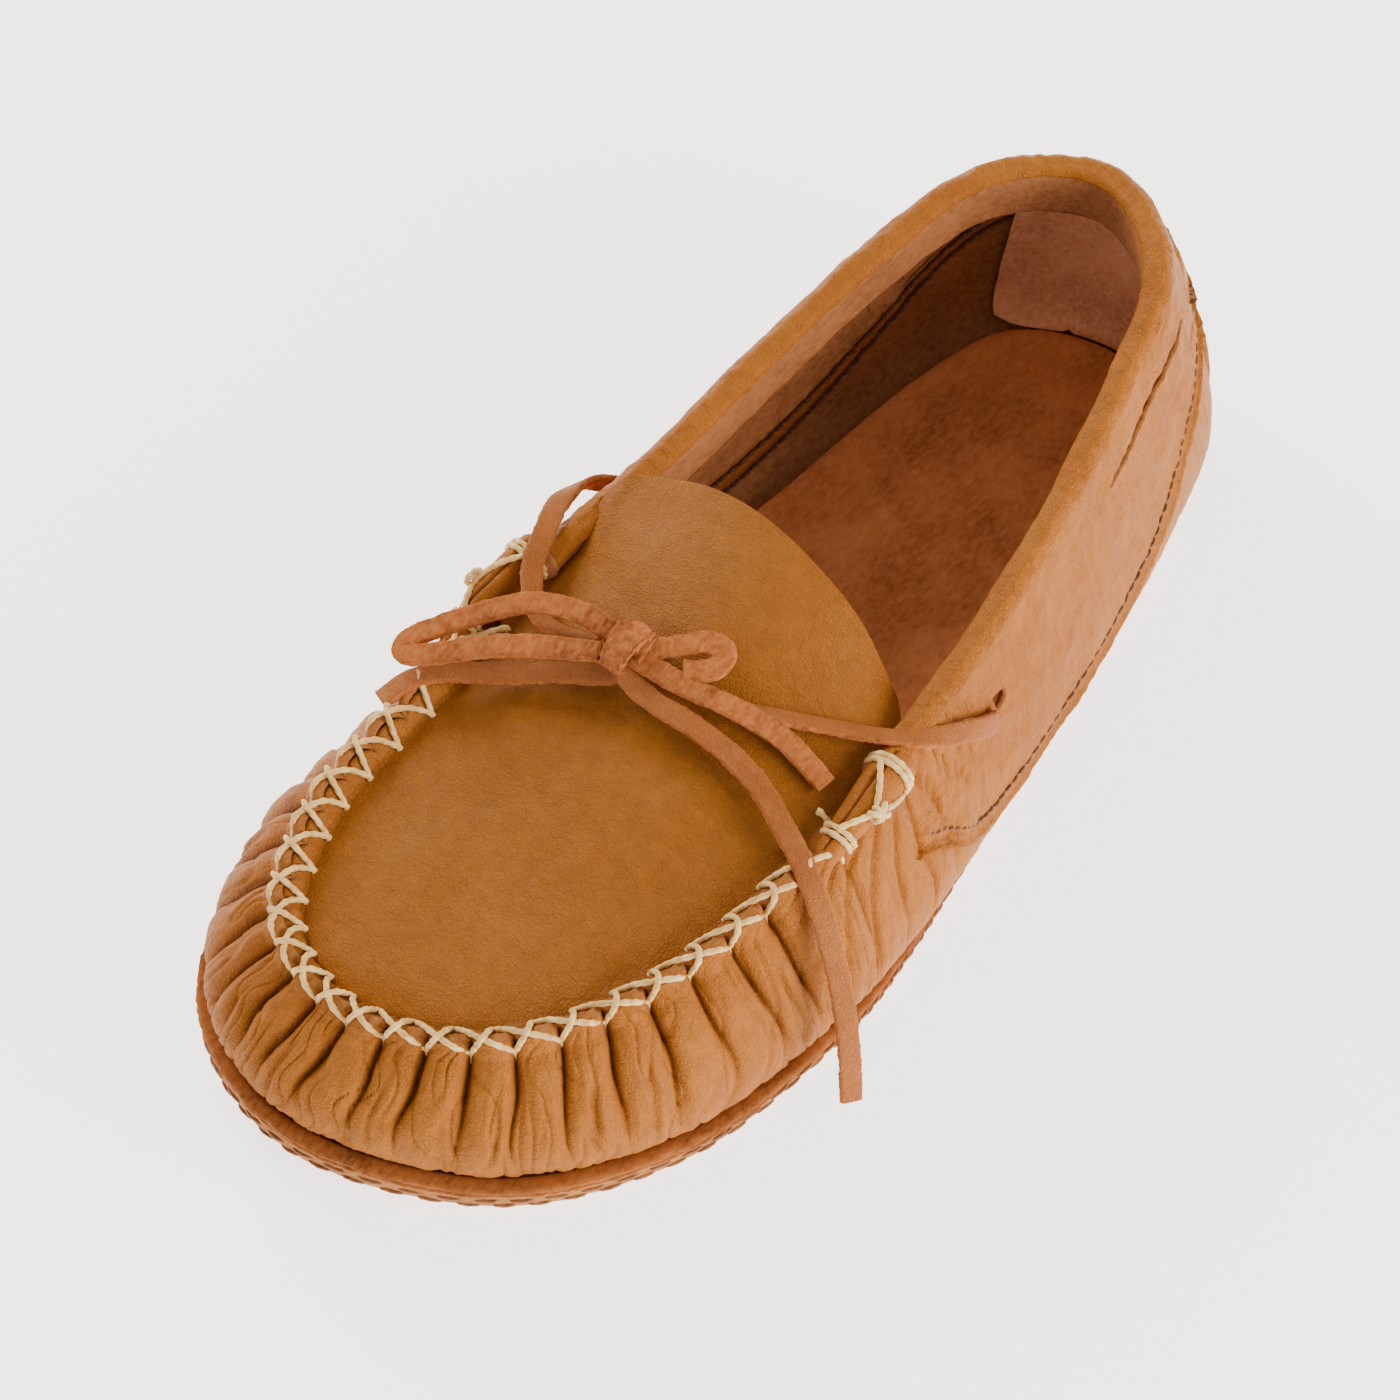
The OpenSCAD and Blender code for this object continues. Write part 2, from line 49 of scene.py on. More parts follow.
# ---------------------------------------------------------------- outlines (mm)
SOLE = np.array([[-3, 136, 8], [24, 125, 7], [35, 97, 6], [45, 52, 5.5], [53, 5, 5.5],
                 [58, -22, 5.5], [60, -47, 6], [54, -88, 8], [32, -122, 11], [-7, -139, 14],
                 [-42, -127, 13], [-59, -91, 11], [-55, -46, 7.5], [-50, -22, 6],
                 [-45, 5, 5.5], [-41, 50, 5.5], [-38, 97, 6], [-29, 125, 7]], float)
TOP = np.array([[-6, 123, 72], [15, 110, 71], [25, 82, 65], [33, 49, 59], [38.5, 15, 54],
                [41, -14, 50.5], [43, -47, 41], [36, -79, 35], [20, -105, 32], [-6, -116.5, 30],
                [-29, -111, 32], [-41, -87, 35], [-42, -55, 39], [-40, -14, 50.5],
                [-37.5, 15, 54], [-36, 49, 59], [-33, 82, 65], [-25, 110, 71]], float)
GATHER = np.array([0] * 6 + [1] * 7 + [0] * 5, float)
SWELL = np.array([13, 13, 14, 14, 13, 10, 8, 6, 4, 2.5, 4, 6, 8, 10, 13, 14, 14, 13], float)
SEAM = np.array([0.62, 0.34, 0.3, 0.36, 0.55, 0.74])
ARCH = np.array([0, 1.2, 2.2, 4.5, 8.5])
TONGUE_END = np.array([[35, 1, 46], [20, 5, 59], [-1, 8, 65], [-20, 8, 64.5], [-38, 4, 59]], float)

# A station u runs round the outlines from 0 at the heel; a share v runs up the side from 0 to 1.
N = len(SOLE)
TOE = N / 2
LIP_W = 3.8             # width of the outsole's lip
OUTSOLE_T, UPPER_T, PAD_T = 2.6, 1.6, 4
COLLAR_W = 6.4          # width of the rolled collar
COLLAR_V = 0.76         # share of the side where the collar starts
COLLAR_DROP = 14        # depth of its inner fold
TURN_END = 14.75        # section parameter where the inner fold shows its flesh side
REAR_START = 5.09       # station where quarter and collar end
QUARTER_START, HEEL_END = 5.05, 0.62
SLOT_V = 0.87
GATHER_END = 5.5
GATHER_SPAN = 2 * (TOE - GATHER_END)
PUCKERS = 25
PUCKER_H = 4.4          # height of a gather
SEAM_RIDGE = 2.6        # height of the apron seam
RIM_V = 0.84            # share of the side where the rim turns up
CREASE_AT = 0.45        # place of a crease between two stitch holes
KNOB = 2.1              # how far the rim rises between creases
HINGE_SHARE = 3.72      # stations from the toe to the tongue's hinge
WRAP_EDGE = 80          # steepness of the wrap's corner at the quarter
THREAD_D, FINE_D = 1.2, 0.85


def rng(seed):
    return np.random.default_rng(seed)


# ---------------------------------------------------------------- curves and noise
def _cr(a, b, c, d, t):
    t = t[..., None]
    return 0.5 * (2 * b + (c - a) * t + (2 * a - 5 * b + 4 * c - d) * t ** 2
                  + (3 * b - a - 3 * c + d) * t ** 3)


def around(points, u):
    """Closed spline through points, at station u."""
    p = points if points.ndim > 1 else points[:, None]
    u = np.asarray(u, float)
    k = np.floor(u).astype(int)
    n = len(p)
    r = _cr(p[(k - 1) % n], p[k % n], p[(k + 1) % n], p[(k + 2) % n], u - k)
    return r if points.ndim > 1 else r[..., 0]


def along(points, u):
    """Open spline through points, at u from 0 to len - 1."""
    points = np.asarray(points, float)
    p = points if points.ndim > 1 else points[:, None]
    n = len(p)
    u = np.clip(np.asarray(u, float), 0, n - 1)
    k = np.minimum(np.floor(u).astype(int), n - 2)
    r = _cr(p[np.maximum(k - 1, 0)], p[k], p[k + 1], p[np.minimum(k + 2, n - 1)], u - k)
    return r if points.ndim > 1 else r[..., 0]


def smooth(t):
    t = np.clip(t, 0, 1)
    return t * t * (3 - 2 * t)


def mix(a, b, t):
    return a * (1 - t) + b * t


def unit(v):
    return v / np.maximum(np.linalg.norm(v, axis=-1, keepdims=True), 1e-9)


def noise(x, y, seed=0):
    """Smooth value noise from -1 to 1 on a hashed lattice."""
    x, y = np.broadcast_arrays(np.asarray(x, float), np.asarray(y, float))
    xi, yi = np.floor(x).astype(np.int64), np.floor(y).astype(np.int64)
    fx, fy = smooth(x - xi), smooth(y - yi)

    def h(a, b):
        v = (a * 374761393 + b * 668265263 + seed * 2147483647) & 0xFFFFFFFF
        v = ((v ^ (v >> 13)) * 1274126177) & 0xFFFFFFFF
        return ((v ^ (v >> 16)) & 0xFFFF) / 32767.5 - 1
    return mix(mix(h(xi, yi), h(xi + 1, yi), fx), mix(h(xi, yi + 1), h(xi + 1, yi + 1), fx), fy)


def fractal(x, y, seed=0, octaves=3):
    return sum(noise(x * 2 ** k, y * 2 ** k, seed + k) / 2 ** k for k in range(octaves))


# ---------------------------------------------------------------- the shoe's surfaces
UP = np.array([0, 0, 1.0])


def outward(u):
    d = around(SOLE, u + 0.05) - around(SOLE, u - 0.05)
    return unit(np.stack([-d[..., 1], d[..., 0], 0 * d[..., 0]], -1))


def inset(u, d):
    p = around(SOLE, u) - outward(u) * np.asarray(d, float)[..., None]
    return p * [1, 1, 0]


def spring(y):
    return np.where(y < -75, 0.0009 * (y + 75) ** 2, 0)


def dish(u, d, lift):
    p = inset(u, d)
    low = OUTSOLE_T + spring(p[..., 1])
    rise = np.interp(d, [LIP_W, 8, 14], [1, 0.3, 0])
    return p + UP * (low + rise * (around(SOLE, u)[..., 2] - low) + lift)[..., None]


def side_ends(u):
    o, top, lip = outward(u), around(TOP, u), around(SOLE, u)[..., 2:]
    g = np.clip(around(GATHER, u), 0, 1)[..., None]
    base = inset(u, LIP_W)
    return [base + UP * (lip + 0.5),
            base + o * around(SWELL, u)[..., None] + UP * (lip + mix(5, 8, g)),
            top + o * mix(COLLAR_W + 5, 8, g) - UP * mix(17, -1, g),
            top + o * mix(COLLAR_W, 0.6, g) + UP * mix(-3, SEAM_RIDGE, g)]


def bezier(p, t):
    t = t[..., None]
    return (p[0] * (1 - t) ** 3 + p[1] * 3 * t * (1 - t) ** 2
            + p[2] * 3 * t * t * (1 - t) + p[3] * t ** 3)


def bezier_d(p, t):
    t = t[..., None]
    return ((p[1] - p[0]) * 3 * (1 - t) ** 2 + (p[2] - p[1]) * 6 * t * (1 - t)
            + (p[3] - p[2]) * 3 * t * t)


def gathered(u):
    """0 on the plain sides, 1 where the wrap is gathered on to the apron."""
    s = (u - GATHER_END) / GATHER_SPAN
    return smooth(s * 9 + 0.35) * smooth((1 - s) * 9 + 0.35)


def gathers(u, v):
    """Puckers and wrinkles: (displacement in mm, painted shade in the creases from 0 to 1, roundness of the
    tube).
    """
    on = gathered(u)
    low = smooth((0.85 - v) / 0.5)
    wander = low * (0.2 * noise(u * 2.3, v * 3, 5) + 0.14 * noise(u * 7, v * 2.5, 9))
    phase = PUCKERS * (u - GATHER_END) / GATHER_SPAN - CREASE_AT + wander
    k = np.floor(phase)
    f = phase - k
    size = 0.95 + 0.25 * noise(k * 1.7, 0.5, 3)
    tube = np.sqrt(np.clip(1 - np.abs(2 * f - 1) ** 2.3, 0, 1))
    grow = smooth((v - 0.04) / 0.66) ** 0.8
    split = np.exp(-((f - 0.5 - 0.2 * noise(k * 3.3, v * 2, 4)) / 0.08) ** 2)
    split = split * smooth((v - 0.1) / 0.2) * smooth((0.75 - v) / 0.25) * (noise(k * 2.1, 7.5, 8) > -0.2)
    heel = smooth(np.minimum(u, N - u) / 0.5)
    lines = (1 - np.abs(noise(u * 13 + noise(u * 3, v * 5, 2), v * 2.4 + u * 1.7, 11))) ** 6
    fine = fractal(u * 24, v * 6, 13) * 0.14
    calm = smooth(v / 0.08) * smooth((1.02 - v) / 0.12) * heel
    rim = np.clip((v - RIM_V) / (1 - RIM_V), 0, 1)
    move = PUCKER_H * (1 - 0.35 * rim) * size * grow * on * (tube - 0.62) - 0.8 * split * on
    move = move + (fine - 0.5 * lines * (0.25 + on)) * calm
    # painted shade: dark between the tubes, in the splits and along the wrinkle lines
    dark = np.clip((1 - tube) * 1.7 - 0.3, 0, 1) * grow * on + 0.35 * split * on
    return move, np.clip(dark + 0.3 * lines * on * calm, 0, 1), tube * on


def end_folds(u, v):
    """Folds that fan out below each end of the apron seam."""
    r = np.where(u > TOE, N - u, u)
    on = smooth((1.15 - np.abs(r - 5.25)) / 0.75) * smooth((v - 0.12) / 0.35) * smooth((1.1 - v) / 0.2)
    fan = (r - 5.2) / np.maximum(1.3 - v, 0.3) * 8
    return on * (0.75 - 1.5 * (1 - np.abs(np.sin(fan + 1.1 * noise(r * 4, v * 3, 21)))) ** 3)


def side_frame(u, v):
    p, o = side_ends(u), outward(u)
    t = bezier_d(p, v)
    n = unit(o * t[..., 2:] - UP * np.sum(t * o, -1)[..., None])
    turn = (gathered(u) * np.clip((v - RIM_V) / (1 - RIM_V), 0, 1.2))[..., None]
    n = unit(mix(n, o, np.clip(turn * 1.3, 0, 1)))
    return bezier(p, v) + turn * (UP * 1.5 + o * 1.6), n


def side(u, v, d=0.0, detail=True):
    u, v = np.broadcast_arrays(np.asarray(u, float), np.asarray(v, float))
    u = u % N
    p, n = side_frame(u, v)
    h = (gathers(u, v)[0] + end_folds(u, v)) if detail else 0 * u
    return p + n * (h - d + 1.1 * smooth(v / 0.1) * smooth((0.6 - v) / 0.45))[..., None]


def seam_v(s):
    return along(SEAM, np.clip(s, 0, 1) * (len(SEAM) - 1))


def wrap_v(u):
    """Top of the body wrap at station u, as a share of the side."""
    r = np.where(u > TOE, N - u, u)
    s = (QUARTER_START - r) / (QUARTER_START - HEEL_END)
    front = mix(1, seam_v(0), smooth(1 + s * WRAP_EDGE))
    back = mix(seam_v(1), COLLAR_V, smooth((s - 1) * 8))
    return np.where(s <= 0, front, np.where(s >= 1, back, seam_v(s)))


# ---------------------------------------------------------------- mesh making
def make_mesh(name, verts, faces, mats, index=None, attrs=None, smooth_shade=True):
    mesh = bpy.data.meshes.new(name)
    mesh.from_pydata((np.asarray(verts) * MM).tolist(), [], faces)
    for m in mats:
        mesh.materials.append(m)
    if index is not None:
        mesh.polygons.foreach_set("material_index", np.asarray(index, np.int32))
    for key, values in (attrs or {}).items():
        a = mesh.attributes.new(key, "FLOAT", "POINT")
        a.data.foreach_set("value", np.asarray(values, np.float32))
    mesh.polygons.foreach_set("use_smooth", [smooth_shade] * len(mesh.polygons))
    mesh.validate()
    mesh.update()
    obj = bpy.data.objects.new(name, mesh)
    bpy.context.scene.collection.objects.link(obj)
    return obj


def grid_normals(g, closed=False):
    if closed:
        du = np.roll(g, -1, 0) - np.roll(g, 1, 0)
    else:
        du = np.gradient(g, axis=0)
    return unit(np.cross(du, np.gradient(g, axis=1)))


def shell(name, outer, inner, mats, closed=False, attrs=None, cut=None, turned=10 ** 6):
    """Closed sheet between two grids. Slots: 0 outer face, 1 inner face and turned rows, 2 cut edges."""
    n, m = outer.shape[:2]
    verts = np.concatenate([outer.reshape(-1, 3), inner.reshape(-1, 3)])
    i, j = np.meshgrid(np.arange(n if closed else n - 1), np.arange(m - 1), indexing="ij")
    i, j = i.ravel(), j.ravel()
    k = (i + 1) % n
    a, b, c, d = i * m + j, k * m + j, k * m + j + 1, i * m + j + 1
    o = n * m
    keep = np.ones(len(a), bool) if cut is None else ~cut.ravel()
    a, b, c, d = a[keep], b[keep], c[keep], d[keep]
    faces = [np.stack([a, b, c, d], 1), np.stack([a + o, d + o, c + o, b + o], 1)]
    index = [(j[keep] >= turned).astype(float), np.ones(len(a))]
    if cut is not None:
        walls = cut_walls(cut, m, o)
        faces.append(walls)
        index.append(np.full(len(walls), 2))
    r = np.arange(n if closed else n - 1)
    rk = (r + 1) % n
    for col, flip in ((0, False), (m - 1, True)):
        p, q = r * m + col, rk * m + col
        quad = np.stack([p, p + o, q + o, q] if not flip else [p, q, q + o, p + o], 1)
        faces.append(quad)
        index.append(np.full(len(quad), 2))
    if not closed:
        c0 = np.arange(m - 1)
        for row, flip in ((0, True), (n - 1, False)):
            p, q = row * m + c0, row * m + c0 + 1
            quad = np.stack([p, p + o, q + o, q] if not flip else [p, q, q + o, p + o], 1)
            faces.append(quad)
            index.append(np.full(len(quad), 2))
    both = {key: np.concatenate([v.ravel(), v.ravel()]) for key, v in (attrs or {}).items()}
    return make_mesh(name, verts, np.concatenate(faces).tolist(), mats, np.concatenate(index), both)


def cut_walls(cut, m, o):
    """Walls round the faces that are left out of a shell."""
    walls = []
    for i, j in np.argwhere(cut):
        corner = i * m + j
        for di, dj, p, q in ((0, -1, corner, corner + m), (1, 0, corner + m, corner + m + 1),
                             (0, 1, corner + m + 1, corner + 1), (-1, 0, corner + 1, corner)):
            if not cut[i + di, j + dj]:
                walls.append([p, q, q + o, p + o])
    return np.array(walls)


def stack_mesh(name, rings, mats, index_of_ring=None, attrs=None):
    """Closed solid through closed rings that mirror about their first point."""
    rings = np.asarray(rings)
    m, n = rings.shape[:2]
    faces, index = [], []
    for k in range(m - 1):
        a = k * n + np.arange(n)
        b = k * n + (np.arange(n) + 1) % n
        faces.append(np.stack([a, a + n, b + n, b], 1))
        index.append(np.full(n, index_of_ring[k] if index_of_ring else 0))
    faces = np.concatenate(faces).tolist()
    index = np.concatenate(index).tolist()
    for k, up in ((0, True), (m - 1, False)):
        for i in range(n // 2):
            q = [k * n + i, k * n + i + 1, k * n + (n - i - 1) % n, k * n + (n - i) % n]
            q = [x for c, x in enumerate(q) if x not in q[:c]]
            faces.append(q if up else q[::-1])
            index.append(index_of_ring[min(k, m - 2)] if index_of_ring else 0)
    return make_mesh(name, rings.reshape(-1, 3), faces, mats, index, attrs)


def sample_route(points, step=0.6):
    """Evenly spaced points of a smooth curve through given points."""
    fine = along(points, np.linspace(0, len(points) - 1, len(points) * 40))
    run = np.r_[0, np.cumsum(np.linalg.norm(np.diff(fine, axis=0), axis=1))]
    want = np.linspace(0, run[-1], max(int(run[-1] / step), 4) + 1)
    return np.stack([np.interp(want, run, fine[:, k]) for k in range(3)], 1)


def frames(path, hints):
    """Sideways and up directions along a path, turned towards the hints."""
    t = unit(np.gradient(path, axis=0))
    h = along(np.asarray(hints, float), np.linspace(0, len(hints) - 1, len(path))) \
        if len(hints) > 1 else np.repeat(np.asarray(hints, float), len(path), 0)
    s = unit(np.cross(t, h))
    return s, np.cross(s, t)


def tube_faces(n, k):
    """Faces of a closed tube of n rings of k points, and each side face's place in its ring."""
    i, j = np.meshgrid(np.arange(n - 1), np.arange(k), indexing="ij")
    i, j = i.ravel(), j.ravel()
    q = (j + 1) % k
    faces = np.stack([i * k + j, i * k + q, (i + 1) * k + q, (i + 1) * k + j], 1).tolist()
    return faces + [list(range(k))[::-1], [(n - 1) * k + a for a in range(k)]], j


def strap(name, points, hints, mats, width=4.6, thick=1.8, rough=0.16, seed=1, step=0.5):
    """Flat lace. Slots: 0 the face towards the hints, 1 the other face, 2 the cut edges."""
    path = sample_route(points, step)
    s, w = frames(path, hints)
    k = 30
    ang = np.linspace(0, 2 * np.pi, k, endpoint=False) + np.pi / k
    ca, sa = np.cos(ang), np.sin(ang)
    x = np.sign(ca) * np.abs(ca) ** 0.38
    y = np.sign(sa) * np.abs(sa) ** 0.55
    run = np.arange(len(path)) * step
    wid = 1 + 0.06 * noise(run[:, None] * 0.12, 0.5, seed) + 0.03 * noise(run[:, None] * 0.5, 0.5, seed + 1)
    pts = (path[:, None] + s[:, None] * (x * width / 2)[None, :, None] * wid[..., None]
           + w[:, None] * (y * thick / 2)[None, :, None])
    nap = [0.1 if m.name.endswith("face") else 1 for m in mats[:2]]
    fuzz = np.where(y > 0.5, nap[0], np.where(y < -0.5, nap[1], 1.1))[None, :] + 0 * run[:, None]
    lump = (rng(seed).normal(size=pts.shape[:2]) * 0.45
            + noise(run[:, None] * 1.3, np.arange(k)[None] * 0.7, seed + 2) * 1.3)
    out = unit(s[:, None] * (x / width)[None, :, None] + w[:, None] * (y / thick)[None, :, None])
    pts = pts + out * (lump * fuzz * rough)[..., None]
    faces, j = tube_faces(len(path), k)
    top = (y > 0.45) & (np.roll(y, -1) > 0.45)
    low = (y < -0.45) & (np.roll(y, -1) < -0.45)
    index = np.where(top[j], 0, np.where(low[j], 1, 2)).tolist() + [2, 2]
    return make_mesh(name, pts.reshape(-1, 3), faces, mats, index), path


def thread(points, d, step=0.45, sides=10, twist=1.4):
    """Vertices and faces of a twisted two-ply thread along points."""
    path = sample_route(points, step)
    t = unit(np.gradient(path, axis=0))
    ref = np.array([0.31, 0.22, 0.92])
    s = unit(np.cross(t, ref))
    w = np.cross(s, t)
    ang = np.linspace(0, 2 * np.pi, sides, endpoint=False)
    run = np.arange(len(path))[:, None] * step
    ply = 1 + 0.13 * np.cos(2 * (ang[None] - run * twist))
    end = np.clip(np.minimum(run, run[-1] - run) / (d * 0.35), 0.35, 1)
    r = d / 2 * ply * end
    pts = (path[:, None] + s[:, None] * (r * np.cos(ang))[..., None]
           + w[:, None] * (r * np.sin(ang))[..., None])
    return pts.reshape(-1, 3), tube_faces(len(path), sides)[0]


def threads(name, runs, d, mat, **kw):
    verts, faces, base = [], [], 0
    for p in runs:
        v, f = thread(p, d, **kw)
        verts.append(v)
        faces += [[x + base for x in face] for face in f]
        base += len(v)
    return make_mesh(name, np.concatenate(verts), faces, [mat])


def hold(obj, body, slot, *nodes):
    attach(obj, body)
    if nodes:
        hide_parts(*nodes)
    return obj


# ---------------------------------------------------------------- materials
def srgb(r, g, b):
    c = np.array([r, g, b]) / 255
    return tuple(np.where(c <= 0.04045, c / 12.92, ((c + 0.055) / 1.055) ** 2.4)) + (1,)


class Nodes:
    """Small helper that builds one material's node tree."""

    def __init__(self, name, rough, spec=0.35, sheen=0.0, sheen_rough=0.5):
        self.mat = bpy.data.materials.new(name)
        self.mat.use_nodes = True
        self.tree = self.mat.node_tree
        self.bsdf = self.tree.nodes["Principled BSDF"]
        self.bsdf.inputs["Roughness"].default_value = rough
        self.bsdf.inputs["Specular IOR Level"].default_value = spec
        self.bsdf.inputs["Sheen Weight"].default_value = sheen
        self.bsdf.inputs["Sheen Roughness"].default_value = sheen_rough
        self.coord = self.add("ShaderNodeTexCoord").outputs["Object"]
        self.height = None

    def add(self, kind, **values):
        node = self.tree.nodes.new(kind)
        for key, value in values.items():
            if hasattr(node, key):
                setattr(node, key, value)
            else:
                node.inputs[key].default_value = value
        return node

    def link(self, a, b):
        self.tree.links.new(a, b)

    def mapped(self, scale, stretch=(1, 1, 1)):
        m = self.add("ShaderNodeMapping")
        m.inputs["Scale"].default_value = [scale * k for k in stretch]
        self.link(self.coord, m.inputs["Vector"])
        return m.outputs["Vector"]

    def noise(self, scale, detail=4, rough=0.55, stretch=(1, 1, 1), distortion=0.0):
        n = self.add("ShaderNodeTexNoise", Scale=1.0, Detail=detail, Roughness=rough)
        n.inputs["Distortion"].default_value = distortion
        self.link(self.mapped(scale, stretch), n.inputs["Vector"])
        return n.outputs["Fac"]

    def cells(self, scale, feature="DISTANCE_TO_EDGE", stretch=(1, 1, 1)):
        n = self.add("ShaderNodeTexVoronoi", feature=feature)
        n.inputs["Scale"].default_value = 1.0
        self.link(self.mapped(scale, stretch), n.inputs["Vector"])
        return n.outputs["Distance"]

    def ramp(self, fac, low, high, a=0.0, b=1.0):
        n = self.add("ShaderNodeMapRange")
        for key, value in zip(("From Min", "From Max", "To Min", "To Max"), (low, high, a, b)):
            n.inputs[key].default_value = value
        self.link(fac, n.inputs["Value"])
        return n.outputs["Result"]

    def blend(self, fac, a, b, mode="MIX"):
        n = self.add("ShaderNodeMix", data_type="RGBA", blend_type=mode)
        for socket, value in ((n.inputs["Factor"], fac), (n.inputs[6], a), (n.inputs[7], b)):
            if hasattr(value, "is_linked"):
                self.link(value, socket)
            else:
                socket.default_value = value
        return n.outputs[2]

    def attribute(self, name):
        return self.add("ShaderNodeAttribute", attribute_name=name).outputs["Fac"]

    def bump(self, fac, strength, distance):
        n = self.add("ShaderNodeBump", Strength=strength, Distance=distance * MM)
        self.link(fac, n.inputs["Height"])
        if self.height is not None:
            self.link(self.height, n.inputs["Normal"])
        self.height = n.outputs["Normal"]

    def done(self, colour):
        self.link(colour, self.bsdf.inputs["Base Color"])
        if self.height is not None:
            self.link(self.height, self.bsdf.inputs["Normal"])
        return self.mat


def smooth_leather(name, base, dark, light, rough=0.52):
    """Soft deerskin: pebbled grain, fine creases, slow colour change, and painted shade read from a mesh
    attribute.
    """
    m = Nodes(name, rough, spec=0.12)
    patch = m.ramp(m.noise(28, 3), 0.35, 0.68)
    fine = m.ramp(m.noise(260, 4, 0.6), 0.3, 0.7)
    colour = m.blend(patch, base, light)
    colour = m.blend(m.ramp(fine, 0, 1, 0.0, 0.26), colour, dark)
    # painted shade: the mesh attribute darkens the colour in creases, folds, slits and grooves
    colour = m.blend(m.ramp(m.attribute("painted_shade"), 0.25, 1.0, 0.0, 0.8), colour, dark)
    pores = m.ramp(m.cells(1250), 0.0, 0.25)
    creases = m.ramp(m.cells(330, stretch=(1, 1.7, 1)), 0.0, 0.08)
    colour = m.blend(m.ramp(pores, 0, 1, 0.2, 0.0), colour, dark)
    colour = m.blend(m.ramp(creases, 0, 1, 0.12, 0.0), colour, dark)
    m.bump(m.noise(120, 5, 0.6), 0.35, 0.8)
    m.bump(m.noise(480, 4, 0.65), 0.35, 0.4)
    m.bump(creases, 0.3, 0.2)
    m.bump(pores, 0.55, 0.16)
    m.bump(m.noise(2600, 2), 0.25, 0.06)
    return m.done(colour)


def suede(name, base, dark, light, nap=1.0):
    """Brushed flesh side: mottled, fuzzy, no shine."""
    m = Nodes(name, 0.95, spec=0.1, sheen=0.35, sheen_rough=0.6)
    m.bsdf.inputs["Sheen Tint"].default_value = light
    mottled = m.ramp(m.noise(55, 4, 0.65), 0.34, 0.66)
    fibre = m.ramp(m.noise(900, 4, 0.7, stretch=(1, 0.45, 1)), 0.36, 0.64)
    colour = m.blend(mottled, dark, base)
    colour = m.blend(m.ramp(fibre, 0, 1, 0.0, 0.5), colour, light)
    m.bump(m.noise(420, 4, 0.7), 0.45 * nap, 0.5)
    m.bump(m.noise(1900, 3, 0.7), 0.6 * nap, 0.22)
    return m.done(colour)


def cord_thread(name, base, dark):
    m = Nodes(name, 0.6, spec=0.3, sheen=0.1)
    colour = m.blend(m.ramp(m.noise(500, 3), 0.35, 0.65), base, dark)
    m.bump(m.noise(2400, 2, stretch=(1, 1, 3)), 0.4, 0.1)
    return m.done(colour)


def foam(name, base, dark):
    m = Nodes(name, 0.9, spec=0.2)
    m.bump(m.cells(700), 0.6, 0.3)
    return m.done(m.blend(m.ramp(m.noise(300, 3), 0.3, 0.7), base, dark))


TAN = smooth_leather("tan_leather", srgb(164, 95, 30), srgb(84, 42, 10), srgb(176, 107, 38))
# a slightly darker copy of the tan leather: painted shade on the flat apron
TAN_APRON_SHADED = smooth_leather("apron_leather_shaded", srgb(152, 90, 28), srgb(90, 46, 12), srgb(164, 100, 36))
SOLE_MAT = smooth_leather("sole_leather", srgb(156, 88, 38), srgb(80, 40, 14), srgb(168, 100, 48), 0.6)
SOLE_WALL = suede("sole_flesh", srgb(164, 106, 60), srgb(116, 66, 32), srgb(190, 136, 88), 0.8)
LIP_MAT = suede("lip_edge", srgb(146, 82, 38), srgb(92, 46, 18), srgb(170, 104, 56), 1.0)
RAW = suede("raw_edge", srgb(150, 92, 44), srgb(104, 58, 24), srgb(184, 124, 70))
INSIDE = suede("flesh_side", srgb(156, 98, 60), srgb(122, 72, 42), srgb(184, 126, 84), 0.8)
INSOLE_MAT = suede("insole_suede", srgb(206, 124, 76), srgb(158, 86, 46), srgb(222, 148, 98))
# a lighter copy of the insole suede: painted light on the heel lining
HEEL_MAT_LIT = suede("heel_suede_painted_light", srgb(238, 168, 124), srgb(200, 128, 90), srgb(248, 198, 160))
LACE_FACE = smooth_leather("lace_face", srgb(160, 92, 44), srgb(92, 46, 18), srgb(174, 106, 56), 0.6)
LACE_SUEDE = suede("lace_suede", srgb(168, 92, 44), srgb(118, 56, 24), srgb(202, 130, 78), 1.3)
TAPE = smooth_leather("tape_leather", srgb(150, 86, 40), srgb(70, 34, 12), srgb(164, 100, 50))
CREAM = cord_thread("cream_thread", srgb(240, 206, 140), srgb(206, 160, 94))
BROWN = cord_thread("brown_thread", srgb(108, 58, 24), srgb(70, 36, 14))
# a lighter copy of the brown thread: painted light on the sole stitches, which sit in shade
SOLE_THREAD_LIT = cord_thread("sole_thread", srgb(150, 92, 48), srgb(112, 64, 30))
FOAM = foam("pad_foam", srgb(222, 212, 184), srgb(196, 184, 152))


# ---------------------------------------------------------------- camera
EYE = Vector((0.2991, -0.3685, 0.6498))
AIM = Vector((-0.0037, -0.0152, 0.030))
LENS = 96.6
ROLL = np.radians(-0.9)


def add_camera():
    cam = bpy.data.objects.new("camera", bpy.data.cameras.new("camera"))
    bpy.context.scene.collection.objects.link(cam)
    cam.data.lens, cam.data.sensor_width = LENS, 36
    cam.data.clip_start = 0.01
    turn = (AIM - EYE).to_track_quat("-Z", "Y").to_matrix()
    cam.matrix_world = Matrix.Translation(EYE) @ (turn @ Matrix.Rotation(ROLL, 3, "Z")).to_4x4()
    bpy.context.scene.camera = cam


